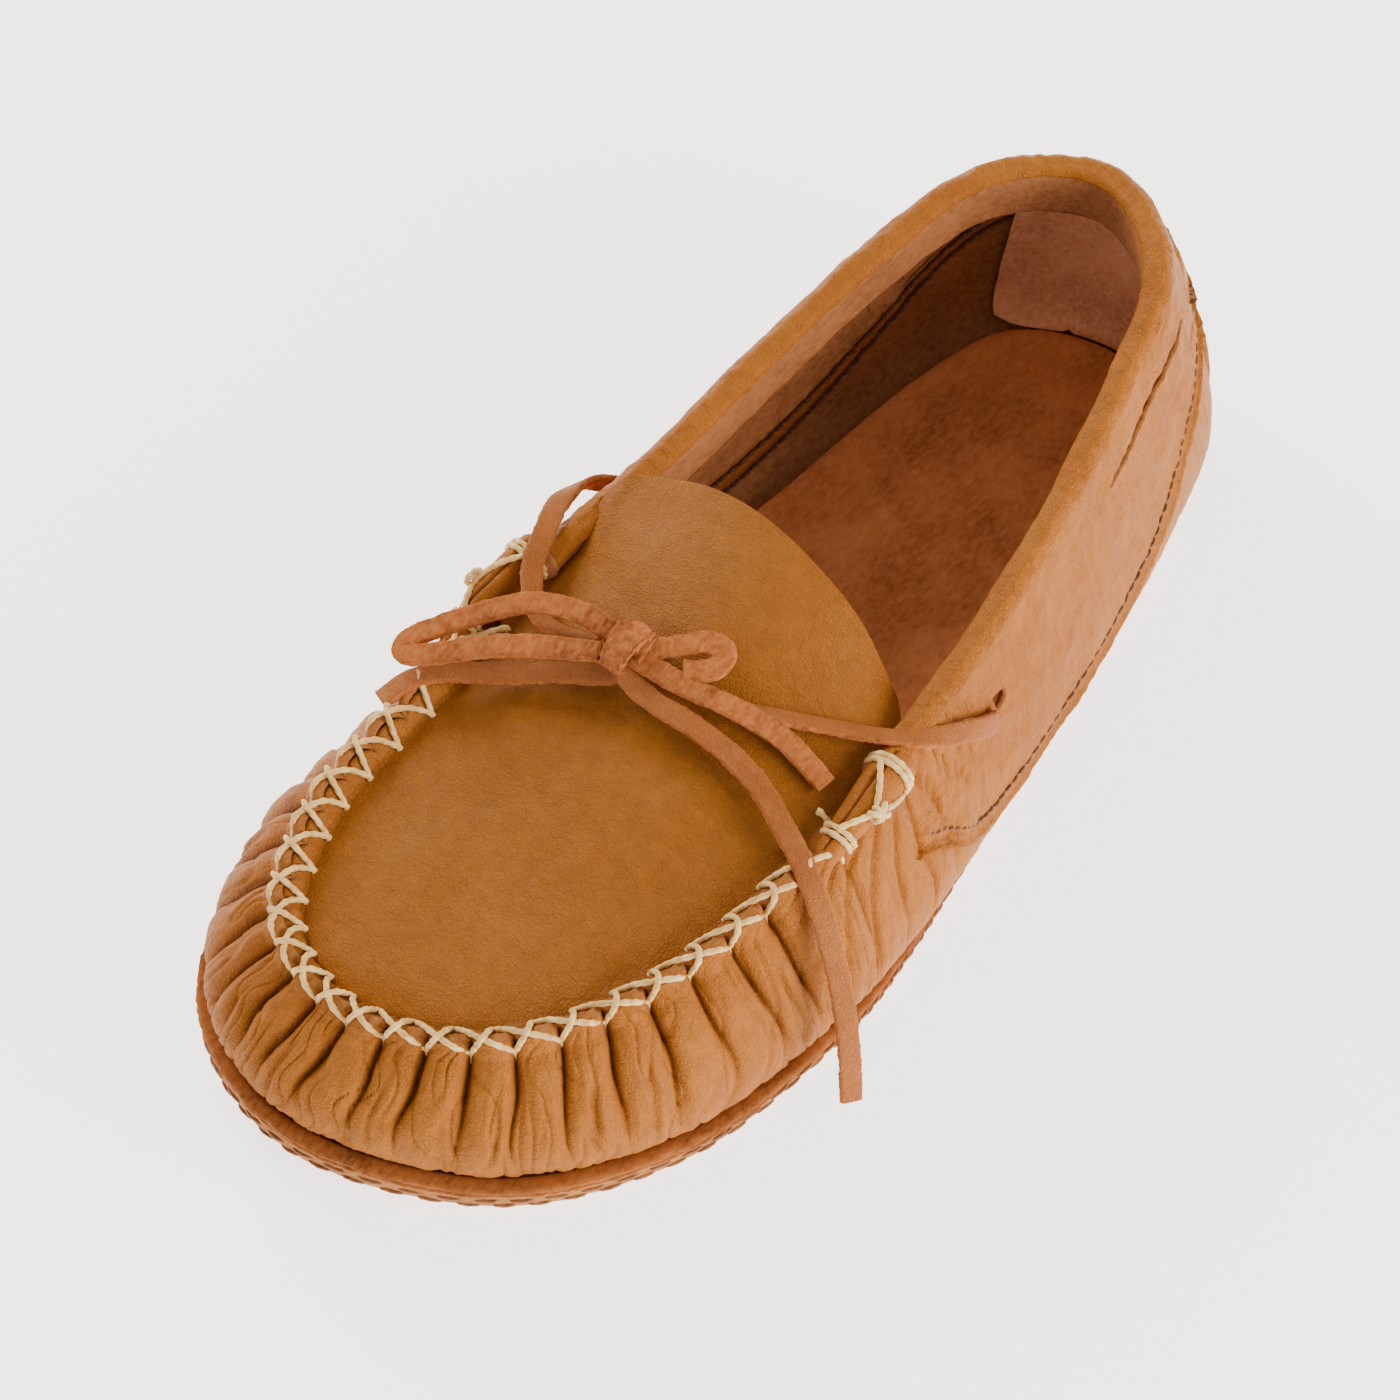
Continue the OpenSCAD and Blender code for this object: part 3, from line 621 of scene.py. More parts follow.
# ---------------------------------------------------------------- lace
KNOT = np.array([-9, -31, 58.8])
STRAND_LEFT = [[50.5, 12, 43.5], [50.5, 4, 46], [47.5, -4, 49.5], [41, -11, 51.5],
               [27, -20, 53.8], [12, -28, 55.4], [-1, -31, 56.6]]
STRAND_RIGHT = [[-50, 12, 43.5], [-50.5, 4, 46.5], [-49, -6, 51], [-45, -15, 53],
                [-41, -24, 51], [-31, -32, 51], [-17, -32, 54.6]]
LOOP_LEFT = [[-13, -30, 59], [-22, -30.5, 59.5], [-33, -34, 57], [-43, -43, 52.5],
             [-49, -51.5, 50], [-48, -55, 49.5], [-43, -52.5, 50.5], [-30, -43, 54.5],
             [-13, -34.8, 58.2]]
LOOP_RIGHT = [[-5, -29, 59.5], [0, -25, 61], [4, -21.5, 62], [8, -21, 61.5], [8.5, -25, 60.5],
              [4, -29, 60]]
END_LEFT = [[-11, -36, 53.6], [-19, -39, 50.8], [-27, -43, 48], [-34, -47, 46],
            [-40, -51, 45.5], [-45.5, -56.5, 44], [-48, -63, 41.5]]
TAIL_LONG = [[-4, -35.5, 56.5], [3, -36.5, 56.5], [11, -35.5, 55.5], [20, -35, 53.5],
             [29, -36, 51], [37, -39, 49], [45, -42.5, 47], [52, -46, 43.5],
             [58.5, -49.5, 36.5], [63, -52, 30], [66.5, -54.5, 23], [69.5, -57, 16], [72, -59.5, 8]]
TAIL_SHORT = [[-2, -31.5, 58.8], [6, -31, 59], [13, -29, 58], [19, -27, 56], [26, -25.5, 53.5],
              [32, -25.5, 51], [38, -26, 48.5]]
LACE_START = 3.95
LACE_MATS = [LACE_FACE, LACE_SUEDE, LACE_SUEDE]
TURNED = [LACE_SUEDE, LACE_FACE, LACE_SUEDE]
LACE_SLOT = "lace_leather"


def add_tails():
    bending = [[0, -0.3, 1], [0.4, -0.3, 1], [1, -0.6, 0.4]]
    for name, points, hints, mats, seed, lay in (
            ("lace_tail_long", [[-8, -33.2, 57.3]] + TAIL_LONG, bending, LACE_MATS, 5, "hanging"),
            ("lace_tail_short", [[-6.5, -31.6, 58.8]] + TAIL_SHORT, bending[:1], TURNED, 9, "loose")):
        obj, path = strap(name + "_strip", points, hints, mats, seed=seed)
        hold(obj, SHOE, LACE_SLOT, name)


def add_lace():
    s = np.linspace(LACE_START, -LACE_START, 60)
    near = smooth((np.abs(s) - 1.15) / 0.2) * smooth((2.7 - np.abs(s)) / 0.2)
    back = side(s, SLOT_V, mix(COLLAR_W / 2 + 0.1, UPPER_T + 1.3, near), detail=False)
    hint = outward(s % N)
    obj, _ = strap("lace_round_heel", back, hint, LACE_MATS, seed=21, step=1.0)
    hold(obj, SHOE, LACE_SLOT)
    for name, hand, points in (("lace_strand_left", 1, STRAND_LEFT),
                               ("lace_strand_right", -1, STRAND_RIGHT)):
        start = [list(side(np.array([r * hand % N]), np.array([0.776]), d)[0])
                 for r, d in ((3.9, 4.0), (4.0, 1.0), (4.1, -1.5))]
        hints = [[hand, 0.1, 0.4], [hand, 0.1, 0.4], [0.7 * hand, 0.2, 0.7]] + [[0, 0.5, 1]] * 5
        obj, _ = strap(name, start + points[1:], hints, LACE_MATS, seed=len(name))
        hold(obj, SHOE, LACE_SLOT, "lace")
    obj, _ = strap("bow_ear_strip", LOOP_LEFT, [[0, -0.4, 1]], TURNED, seed=31)
    hold(obj, EAR, LACE_SLOT, "bow_loop_left")
    obj, _ = strap("bow_curl_strip", LOOP_RIGHT, [[0, -0.4, 1]], TURNED, seed=33)
    hold(obj, SHOE, LACE_SLOT, "bow_loop_right")
    end = [[-7.5, -34.2, 55.6]] + END_LEFT
    obj, _ = strap("lace_end_strip", end, [[-0.3, -0.4, 1]], LACE_MATS, seed=35)
    hold(obj, SHOE, LACE_SLOT, "lace_end_left")
    a = np.radians(np.linspace(-165, 165, 23))
    turn = KNOT + np.stack([0.8 * np.sin(a), 5.2 * np.cos(a), 3.7 * np.sin(a)], 1)
    radial = np.stack([0 * a, np.cos(a), np.sin(a)], 1)
    obj, _ = strap("knot_turn", turn, radial, [LACE_SUEDE] * 3, width=5.6, rough=0.34, seed=41)
    hold(obj, SHOE, LACE_SLOT, "lace_knot")
    core = [[-13.5, -30, 58.3], [-9, -29.4, 58.8], [-4.5, -29.2, 59]]
    obj, _ = strap("knot_core", core, [[0, -0.3, 1]], [LACE_SUEDE] * 3,
                   width=6.6, thick=3.8, rough=0.3, seed=43)
    hold(obj, SHOE, LACE_SLOT)


# ---------------------------------------------------------------- sole and bed
RING = np.linspace(0, N, 900, endpoint=False)


def under(u, d, rise, lift=0.0):
    p = inset(u, d)
    low = spring(p[..., 1])
    return p + UP * (low + rise * (around(SOLE, u)[..., 2] - low) + lift)[..., None]


def add_sole():
    u = RING
    full = np.ones(len(u))

    def rough(seed, amount):
        """Uneven cut of the sole's edge."""
        r = (fractal(u * 9, seed * 3.1, seed) + 0.7 * noise(u * 40, seed, seed + 5)) * amount
        return outward(u) * r[:, None]

    def edge(d, lift, seed=0, amount=0.0):
        return dish(u, full * d, lift) + rough(seed, amount)

    def wall(d, rise, seed, amount=0.12):
        return under(u, full * d, rise) + rough(seed, amount)

    top = [edge(14, 0), edge(8, 0), edge(LIP_W + 0.3, -0.2), edge(LIP_W - 0.5, -0.1),
           edge(2.6, 0.25, 9, 0.1), edge(0.8, 0.2, 1, 0.15), edge(0.15, -0.1, 2, 0.25),
           edge(0, -0.7, 3, 0.25), edge(0.2, -1.3, 4, 0.2), edge(1.1, -1.55, 5, 0.1),
           edge(0.4, -1.8, 6, 0.2), edge(0.25, -2.4, 7, 0.25)]
    low = [wall(0.25, 0.6, 8), wall(0.35, 0.44, 9), wall(0.8, 0.27, 10), wall(2, 0.13, 11),
           under(u, full * 4, 0.06), under(u, full * 8, 0.02), under(u, full * 14, 0)]
    slots = [0, 0, 0, 1, 1, 1, 1, 1, 1, 1, 1, 2, 2, 2, 2, 2, 2, 2]
    rings = np.array(top + low)
    # painted shade in the corner where the upper stands on the sole (rings 2 and 3) and in the notch of the
    # lip's edge (ring 9)
    painted_shade = np.zeros(rings.shape[:2])
    painted_shade[2:4] = 1.0
    painted_shade[9] = 1.0
    obj = stack_mesh("sole_dish", rings, [SOLE_MAT, LIP_MAT, SOLE_WALL], slots, {"painted_shade": painted_shade.ravel()})
    hold(obj, SHOE, "sole_leather", "outsole")


def add_bed():
    """Suede insole, raised a little where it meets the sides, over its foam pad."""
    u = RING[::2]
    pad_low = OUTSOLE_T + UPPER_T + 0.5
    sock_low = pad_low + PAD_T + 0.25

    def at(d, level):
        p = inset(u, np.full(len(u), float(d)))
        return p + UP * (spring(p[:, 1]) + level)[:, None]
    soft = 0.25 * fractal(u * 3, 0.5, 71)[:, None] * UP
    rings = [at(14, sock_low + 1.4), at(11.5, sock_low + 1.5) + soft, at(9.4, sock_low + 1.9) + soft,
             at(7.2, sock_low + 2.7) + soft, at(5.6, sock_low + 3.7) + soft, at(5.2, sock_low + 3.3),
             at(6.8, sock_low + 1.6), at(9, sock_low + 0.2), at(14, sock_low)]
    obj = stack_mesh("sock_liner", rings, [INSOLE_MAT])
    hold(obj, SHOE, "insole_suede", "insole")
    top = pad_low + PAD_T
    rings = [at(14, top), at(10, top), at(9.1, top - 0.2), at(8.8, top - 0.9), at(8.8, pad_low + 1),
             at(9.1, pad_low + 0.3), at(10, pad_low + 0.05), at(14, pad_low + 0.05)]
    obj = stack_mesh("pad_block", rings, [FOAM])
    hold(obj, SHOE, "foam", "foam_pad")


# ---------------------------------------------------------------- upper
def add_wrap():
    cols = np.concatenate([np.arange(5.2, 12.8, 1 / 150), np.arange(12.8, 23.2, 1 / 80)]) % N
    rows = np.concatenate([[-0.035], np.linspace(0, 0.8, 40), np.linspace(0.815, 1, 16)])
    u = np.repeat(cols[:, None], len(rows), 1)
    share = rows[None, :] * wrap_v(cols)[:, None]
    # the second value is the painted shade of the gathers, stored on the mesh
    move, painted_shade, tube = gathers(u, share)
    rim = UP * (KNOB * (tube - 0.6) * smooth((share - 0.86) / 0.14))[..., None]
    tuck = smooth((rows[None] - 0.95) / 0.05) * (1 - gathered(cols))[:, None]
    outer = side(u, share, 0.7 * tuck) + rim
    thick = UPPER_T - 0.3 + 1.1 * smooth((share - 0.86) / 0.1) * gathered(u)
    inner = side(u, share, thick) + rim
    obj = shell("gathered_wrap", outer, inner, [TAN, INSIDE, RAW], closed=True, attrs={"painted_shade": painted_shade})
    hold(obj, SHOE, "upper_leather", "body_wrap")


# Slits of the collar: first and last station, height, bluntness of the ends, place in the section.
SLITS = ((1.2, 2.5, 0.95, 0.45, 9.375), (3.86, 4.2, 2.0, 0.5, 8.3))


def rear_section(u):
    """Rear outline at stations u: quarter, then collar roll and inner fold (outer leather face)."""
    o, top = outward(u % N), around(TOP, u)
    s = (QUARTER_START - np.abs(u)) / (QUARTER_START - HEEL_END)
    low = seam_v(s) - 0.045 * smooth((s - 0.92) / 0.08)
    lower = [side(u, mix(low, COLLAR_V, t)) for t in np.linspace(0, 1, 9)]
    upper = [side(u, np.full(len(u), v)) for v in (0.84, 0.92, 1.0)]
    roll = [top + o * (COLLAR_W - 0.9) - UP * 1.2, top + o * (COLLAR_W / 2) + UP * 0.2,
            top + o - UP, top - UP * 3.4, top + o * 0.4 - UP * 8, top + o * 0.7 - UP * COLLAR_DROP]
    return np.stack(lower + upper + roll, 1)


def section_at(ctrl, t):
    """Spline through each column's control points, at parameters t (columns by rows)."""
    k = ctrl.shape[1]
    i = np.clip(np.floor(t).astype(int), 0, k - 2)
    c = np.arange(len(ctrl))[:, None]
    a, b = ctrl[c, np.maximum(i - 1, 0)], ctrl[c, i]
    return _cr(a, b, ctrl[c, i + 1], ctrl[c, np.minimum(i + 2, k - 1)], t - i)


def slit_open(u, slit):
    """Half height of one slit of the collar at stations u, as a share of the section."""
    a, b, height, power = slit[:4]
    x = np.clip((np.abs(u) - a) / (b - a), 0, 1)
    return height / 4.8 * np.sin(np.pi * np.clip(x ** 0.8, 0, 1)) ** power * (x > 0) * (x < 1)


def add_rear():
    u = np.linspace(REAR_START, -REAR_START, 1100)
    ctrl = rear_section(u)
    k = ctrl.shape[1]
    long_t, front_t = SLITS[0][4], SLITS[1][4]
    t = np.concatenate([np.linspace(0, front_t, 46), np.linspace(front_t + 0.001, long_t, 9),
                        np.linspace(long_t + 0.001, k - 1, 60)])
    middle = (u[:-1] + u[1:]) / 2
    cut = np.zeros((len(u) - 1, len(t) - 1), bool)
    push = np.zeros((len(u), len(t)))
    dark = 0 * push
    for slit, row in ((SLITS[0], 54), (SLITS[1], 45)):
        h = slit_open(u, slit)[:, None]
        near = np.exp(-np.abs(t - slit[4]) / 0.5)[None]
        push += h * near * np.where(np.arange(len(t)) <= row, -1, 1)[None]
        # painted shade in and round each slit
        dark = np.maximum(dark, smooth(h / 0.1) * near ** 3)
        cut[:, row] = slit_open(middle, slit) > 0.02
    grid = section_at(ctrl, np.clip(t[None] + push, 0, k - 1))
    n = grid_normals(grid)
    seam_t = np.exp(-((t[None] - 0.95) / 0.28) ** 2)
    at_heel = smooth((HEEL_END + 0.3 - np.abs(u[:, None])) / 0.3) * (t[None] < 9)
    step = 0.9 * smooth(1 - t[None] / 0.5) + 0.9 * at_heel
    wave = fractal(u[:, None] * 5, t[None] * 0.6, 51) * 0.25
    fine = fractal(u[:, None] * 22, t[None] * 2.6, 53) * 0.05
    roll = smooth((t[None] - 11) / 2) * smooth((14.5 - t[None]) / 1.5)
    pinch = roll * 0.35 * noise(u[:, None] * 17, t[None] * 0.8, 55)
    edge = 0.8 * (t[None] < TURN_END) * smooth((t[None] - 13.4) / 0.8)
    grid = grid + n * (wave + fine + pinch + step + edge - 0.5 * seam_t)[..., None]
    inner = grid - n * UPPER_T
    # painted shade along the quarter's folded lower edge at the seam, and in the slits
    painted_shade = 0.8 * seam_t * (0.6 + 0.4 * noise(u[:, None] * 26, 0.5, 57)) + 0 * grid[..., 0]
    painted_shade = np.maximum(painted_shade, 0.8 * dark)
    obj = shell("quarters_and_collar", grid, inner, [TAN, INSIDE, RAW], attrs={"painted_shade": painted_shade}, cut=cut,
                turned=int(np.sum(t < TURN_END)) - 1)
    hold(obj, SHOE, "upper_leather", "quarter_left", "quarter_right", "collar")
    for name, g, body in (("collar_nose_left", grid[0], 1), ("collar_nose_right", grid[-1], -1)):
        add_nose(name, g[46:], body)


def add_nose(name, arm, hand):
    """Rounded closed end of the collar, between its outer and inner folds."""
    half = len(arm) // 2
    a, b = arm[:half], arm[::-1][:half]
    t = np.linspace(0, 1, 15)
    swell = np.array([0.12 * hand, -1, -0.25])
    span = np.linalg.norm(a - b, axis=1)[:, None, None]
    flat = a[:, None] * (1 - t)[None, :, None] + b[:, None] * t[None, :, None]
    grid = flat + swell * (np.sin(np.pi * t)[None, :, None] * (0.45 * span + 0.4))
    n = grid_normals(grid) * -hand
    # the shade attribute gives the nose a faint even painted shade
    obj = shell(name, grid + n * 0.3, grid - n * 0.9, [TAN, INSIDE, RAW],
                attrs={"painted_shade": 0.3 + 0 * grid[..., 0]})
    hold(obj, SHOE, "upper_leather")


def add_apron():
    """Apron and tongue in one: turned up against the gathered edge, free behind the bow."""
    rows = 420
    k = np.r_[np.linspace(0.004, 0.3, 60), np.linspace(0.31, HINGE_SHARE, rows - 60)]
    w = np.linspace(0, 1, 91)
    rims, bases = [], []
    for u in (TOE - k, TOE + k):
        on = gathered(u)[:, None]
        tube = gathers(u, np.ones(len(u)))[2][:, None]
        lip = side(u, np.ones(len(u)), UPPER_T + 1.0) + UP * (0.8 * KNOB * (tube - 0.6) - 0.6)
        base = around(TOP, u) - outward(u) * mix(1.8, 2.5, on) - UP * mix(0.4, 0.3, on)
        t = np.linspace(0, 1, 8)[:-1, None, None]
        rims.append(mix(lip[None], base[None], t) - outward(u) * (np.sin(np.pi * t) * on[None] * 0.5))
        bases.append(base)
    right, left = bases
    plain = right[:, None] * (1 - w)[None, :, None] + left[:, None] * w[None, :, None]
    arch = along(ARCH, k / HINGE_SHARE * 4)
    plain[..., 2] += arch[:, None] * (1 - (2 * w - 1) ** 2)[None]
    edge_fade = smooth((1 - np.abs(2 * w - 1)) * 14)
    press = 1.5 * np.exp(-((plain[..., 1] + 37) / 7) ** 2) * smooth((26 - np.abs(plain[..., 0] + 4)) / 14)
    swell = 0.8 * np.exp(-((plain[..., 1] + 52) / 9) ** 2) * smooth((30 - np.abs(plain[..., 0] + 2)) / 14)
    plain[..., 2] += (swell - press) * edge_fade[None]
    grid = np.concatenate([rims[0].transpose(1, 0, 2), plain, rims[1].transpose(1, 0, 2)[:, ::-1]], 1)
    share = np.concatenate([np.zeros(7), w, np.ones(7)])
    late = smooth((k / HINGE_SHARE - 0.8) / 0.2)
    grid[..., 1] += late[:, None] * 14 * (np.abs(2 * share - 1) ** 1.4)[None]
    ends = along(TONGUE_END, share * 4)
    t = np.linspace(0, 1, 60)[1:][:, None, None]
    flap = mix(grid[-1][None], ends[None], t)
    flap[..., 0] = mix(grid[-1][None, :, 0], ends[None, :, 0], t[..., 0] ** mix(1, 2.2, share)[None])
    flap[..., 2] += 1.5 * np.sin(np.pi * t[..., 0]) * np.sin(np.pi * share)[None]
    grid = np.concatenate([grid, flap])
    n = grid_normals(grid)
    n = n * np.sign(n[:, 40:60, 2].mean())
    wave = fractal(grid[..., 0] * 0.06, grid[..., 1] * 0.05, 61) * 0.5
    inner = np.concatenate([np.zeros(7), smooth(np.minimum(w, 1 - w) * 20), np.zeros(7)])[None]
    lines = (1 - np.abs(noise(grid[..., 0] * 0.09 + 7, grid[..., 1] * 0.32, 63))) ** 7
    near = np.exp(-((grid[..., 1] + 34) / 16) ** 2)
    grid = grid + n * ((wave - 0.28 * lines * near) * inner)[..., None]
    # painted shade in the hollow where each edge turns up, and along the wrinkle lines near the bow
    dark = np.zeros(grid.shape[:2])
    dark[:rows, [5, 6, 7, 8, -9, -8, -7, -6]] = [0.35, 0.6, 0.5, 0.2, 0.2, 0.5, 0.6, 0.35]
    dark = dark + 0.25 * lines * near
    obj = shell("apron_and_tongue", grid, grid - n * 1.3, [TAN_APRON_SHADED, INSIDE, RAW], attrs={"painted_shade": dark})
    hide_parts("apron", "tongue")
    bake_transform(obj)


# ---------------------------------------------------------------- seam ends
LOBE = [[46.4, -43, 42.2], [46.4, -37, 43.8], [46.2, -31, 45.4], [46, -24.5, 46.8], [45.6, -18, 47.6],
        [45, -12.5, 47.8]]
LOBE_OTHER = [[-46, -49, 41], [-46.6, -43, 42.4], [-46.8, -37, 44], [-46.6, -30, 45.6], [-46.2, -23, 46.8],
              [-45.6, -17, 47.6]]


def lobe_frame(points, t):
    """Centre, directions and radius of a rolled seam end, t from 0 (seam) to 1 (free end)."""
    c = along(points, np.asarray(t, float) * (len(points) - 1))
    axis = unit(along(points, np.asarray(t) * 5 + 0.02) - along(points, np.asarray(t) * 5 - 0.02))
    s = unit(np.cross(axis, UP))
    w = np.cross(s, axis)
    r = np.interp(t, [0, 0.2, 0.42, 0.7, 0.92, 1], [1.4, 2.6, 3.3, 4.2, 4.5, 4.3])
    return c, s, w, r


def add_lobe(name, points, seed):
    t = np.linspace(0, 1, 90)
    ang = np.linspace(0, 2 * np.pi, 96, endpoint=False)
    c, s, w, r = lobe_frame(points, t)
    turn = ang[None] + 0.5 * noise(t[:, None] * 3, 0.5, seed)
    turn = turn % (2 * np.pi)
    fold = np.exp(-((turn - 1.9) / 0.12) ** 2) + 0.7 * np.exp(-((turn - 4.1) / 0.1) ** 2)
    tie = np.exp(-((t - 0.36) / 0.05) ** 2) + 0.6 * np.exp(-((t - 0.88) / 0.03) ** 2)
    around_noise = noise(np.cos(ang)[None] * 1.5 + t[:, None] * 4, np.sin(ang)[None] * 1.5, seed + 3)
    rad = r[:, None] * (1 - 0.18 * fold - 0.16 * tie[:, None]) + 0.25 * around_noise
    ring = (c[:, None] + s[:, None] * (rad * np.cos(ang))[..., None]
            + w[:, None] * (rad * np.sin(ang))[..., None])
    axis = unit(c[-1] - c[-4])
    ends = []
    for share, out in ((0.93, 0.7), (0.72, 1.0), (0.62, 0.2), (0.3, 0.0)):
        ends.append(c[-1] + (ring[-1] - c[-1]) * share + axis * out)
    rings = np.concatenate([ring, ends])[:, ::-1]
    slots = [0] * 89 + [0, 1, 1, 1]
    # painted shade in the folds and where the thread ties the lobe
    painted_shade = np.clip(0.8 * fold + 0.7 * tie[:, None], 0, 1)
    painted_shade = np.concatenate([painted_shade, np.full((4, 96), 0.5)])[:, ::-1]
    obj = stack_mesh(name, rings, [TAN, RAW], slots, {"painted_shade": painted_shade.ravel()})
    hold(obj, SHOE, "upper_leather")


def ring_on(points, t, lift, start=0, stop=360, advance=0.0):
    """Points of a thread wound on a lobe."""
    a = np.radians(np.linspace(start, stop, 17))
    tt = t + advance * np.linspace(0, 1, 17)
    c, s, w, r = lobe_frame(points, tt)
    r = r * (0.86 if t < 0.45 else 0.95) + lift
    return list(c + s * (r * np.cos(a))[:, None] + w * (r * np.sin(a))[:, None])


def add_seam_ties():
    for name, points, hand in (("left", LOBE, 1), ("right", LOBE_OTHER, -1)):
        add_lobe("seam_end_" + name, points, 80 + hand)
        a = 90 - 60 * hand
        runs = [ring_on(points, 0.86, 0.6), ring_on(points, 0.9, 0.55), ring_on(points, 0.33, 0.6),
                ring_on(points, 0.375, 0.65)]
        runs.append(ring_on(points, 0.86, 0.7, 90 + 20 * hand, a, -0.3))
        runs.append(ring_on(points, 0.58, 0.7, a, a - 70 * hand, 0.28))
        runs.append(ring_on(points, 0.58, 0.7, a, a + 60 * hand, -0.22))
        c, s, w, r = lobe_frame(points, np.array([0.57]))
        out = s * np.cos(np.radians(a)) + w * np.sin(np.radians(a))
        axis = np.cross(s, w)
        flat = np.cross(out, axis)
        k = (c + out * (r + 1.2))[0]
        out, axis, flat = out[0], axis[0], flat[0]
        for tilt in (0.2, 1.3, 2.4):
            d = np.cos(tilt) * axis + np.sin(tilt) * flat
            g = np.radians(np.linspace(0, 330, 11))
            lean = np.cross(out, d) * 0.5
            runs.append([k + d * 1.5 * np.cos(x) + out * 1.0 * np.sin(x) + lean * np.sin(x * 0.5)
                         for x in g])
        for dx, dy in ((-2.4, 2.2), (-3.2, -0.6)):
            half = axis * dx * 0.5 + flat * dy * 0.5
            runs.append([k, k + half + out * 0.9, k + axis * dx + flat * dy - out * 0.1])
        obj = threads("seam_tie_" + name, runs, 1.25, CREAM)
        hold(obj, SHOE, "waxed_thread", "seam_wrap_" + name)


# ---------------------------------------------------------------- stitches
def pucker_u(i):
    return GATHER_END + GATHER_SPAN * i / PUCKERS


def rim_top(u, d, lift):
    u = np.array([float(u)])
    tube = gathers(u, np.ones(1))[2]
    return side(u, np.ones(1), d)[0] + UP * float(KNOB * (tube[0] - 0.6) + lift)


def apron_hole(i):
    u = np.array([pucker_u(i)])
    on = gathered(u)[0]
    return (around(TOP, u) - outward(u) * mix(2.4, 2.9, on))[0] + UP * 0.1


def crease_hole(i):
    u = np.array([pucker_u(i + CREASE_AT)])
    return side(u, np.array([0.83]), 0.2)[0], side(u, np.array([0.88]), -0.55)[0]


def add_apron_stitches():
    """Each stitch goes up over both edges into a crease, and comes back under the next one."""
    runs = []
    for i in range(PUCKERS + 1):
        hole = apron_hole(i)
        if i < PUCKERS:
            deep, mouth = crease_hole(i)
            over = [rim_top(pucker_u(i + 0.08), UPPER_T + 1.4, 0.2),
                    rim_top(pucker_u(i + 0.16), 1.0, 1.2), rim_top(pucker_u(i + 0.3), -0.7, 0.6)]
            runs.append([hole - UP * 0.9, hole + UP * 0.5] + over + [mouth, deep])
        if i > 1:
            deep, mouth = crease_hole(i - 2)
            back = [rim_top(pucker_u(i - 1.2), -0.3, -0.1), rim_top(pucker_u(i - 0.85), 0.9, 0.55),
                    rim_top(pucker_u(i - 0.4), UPPER_T + 1.2, 0.0)]
            runs.append([deep, mouth] + back + [hole + UP * 0.35, hole - UP * 0.9])
    obj = threads("apron_thread", runs, THREAD_D, CREAM)
    hold(obj, SHOE, "waxed_thread", "apron_stitching")


def dash_rows(place, count, share, mat, name, nodes, d, slot):
    """Separate stitches along place(s), s from 0 to 1, whose ends dip into the leather."""
    runs = []
    for i in range(count):
        s = (i + np.array([0.02, 0.1, 0.5, 0.9, 0.98]) * share) / count
        p, n = place(s)
        runs.append(list(p + n * np.array([-0.7, 0.1, 0.25, 0.1, -0.7])[:, None] * d))
    obj = threads(name, runs, d, mat, sides=7)
    hold(obj, SHOE, slot, *nodes)


def seam_line(hand, offset, depth, ends=(0.03, 0.985)):
    def place(s):
        q = mix(ends[0], ends[1], s)
        u = mix(QUARTER_START, HEEL_END, q) * hand % N
        v = seam_v(q)
        dv = offset / np.linalg.norm(bezier_d(side_ends(u), v), axis=-1)
        n = side_frame(u, v)[1]
        return side(u, np.minimum(v + dv, 0.99), depth), n * (1 if depth < 1 else -1)
    return place


def add_seam_rows():
    for hand, side_name in ((1, "left"), (-1, "right")):
        dash_rows(seam_line(hand, 3.4, 0.25), 62, 0.74, BROWN, "quarter_stitches_" + side_name,
                  ["quarter_stitching"] if hand > 0 else [], FINE_D, "brown_thread")
        for offset, row in ((-2.1, "low"), (2.1, "high")):
            line = seam_line(hand, offset, UPPER_T + 1.15)
            nodes = ["tape_stitching"] if hand > 0 and offset > 0 else []
            dash_rows(line, 60, 0.78, BROWN, f"tape_stitches_{side_name}_{row}", nodes, 0.8,
                      "brown_thread")
        q = np.linspace(0.05, 0.975, 420)
        u = mix(QUARTER_START, HEEL_END, q) * hand % N
        v = seam_v(q)
        dv = 1 / np.linalg.norm(bezier_d(side_ends(u), v), axis=-1)
        x = np.linspace(-1, 1, 15)
        uu = np.repeat(u[:, None], 15, 1)
        vv = v[:, None] + x[None] * 3.0 * dv[:, None]
        puff = 0.55 * np.cos(np.pi * x / 1.4) ** 2 * (1 + 0.3 * noise(q[:, None] * 60, x[None], 91))
        face = side(uu, vv, UPPER_T + 0.5 + puff)
        back = side(uu, vv, UPPER_T + 0.05 + 0 * puff)
        # painted shade in the two grooves where the stitch rows pull the tape down
        painted_shade = np.repeat((np.abs(np.abs(x) - 0.7) < 0.12)[None] * 0.8, len(q), 0)
        parts = (face, back) if hand < 0 else (face[::-1], back[::-1])
        obj = shell("seam_tape_strip_" + side_name, *parts, [TAPE, TAPE, RAW], attrs={"painted_shade": painted_shade})
        hold(obj, SHOE, "tape_leather", "seam_tape_" + side_name)


def add_sole_stitches():
    for d, rise, shift, name in ((0.3, 0.6, 0.0, "upper"), (0.42, 0.41, 0.5, "lower")):
        def place(s):
            u = (s * N + shift * N / 104) % N
            return under(u, np.full(len(u), d), rise), outward(u) * 0.95 - UP * 0.2
        dash_rows(place, 104, 0.64, SOLE_THREAD_LIT, "sole_stitches_" + name,
                  ["sole_stitching"] if shift == 0 else [], 0.8, "brown_thread")


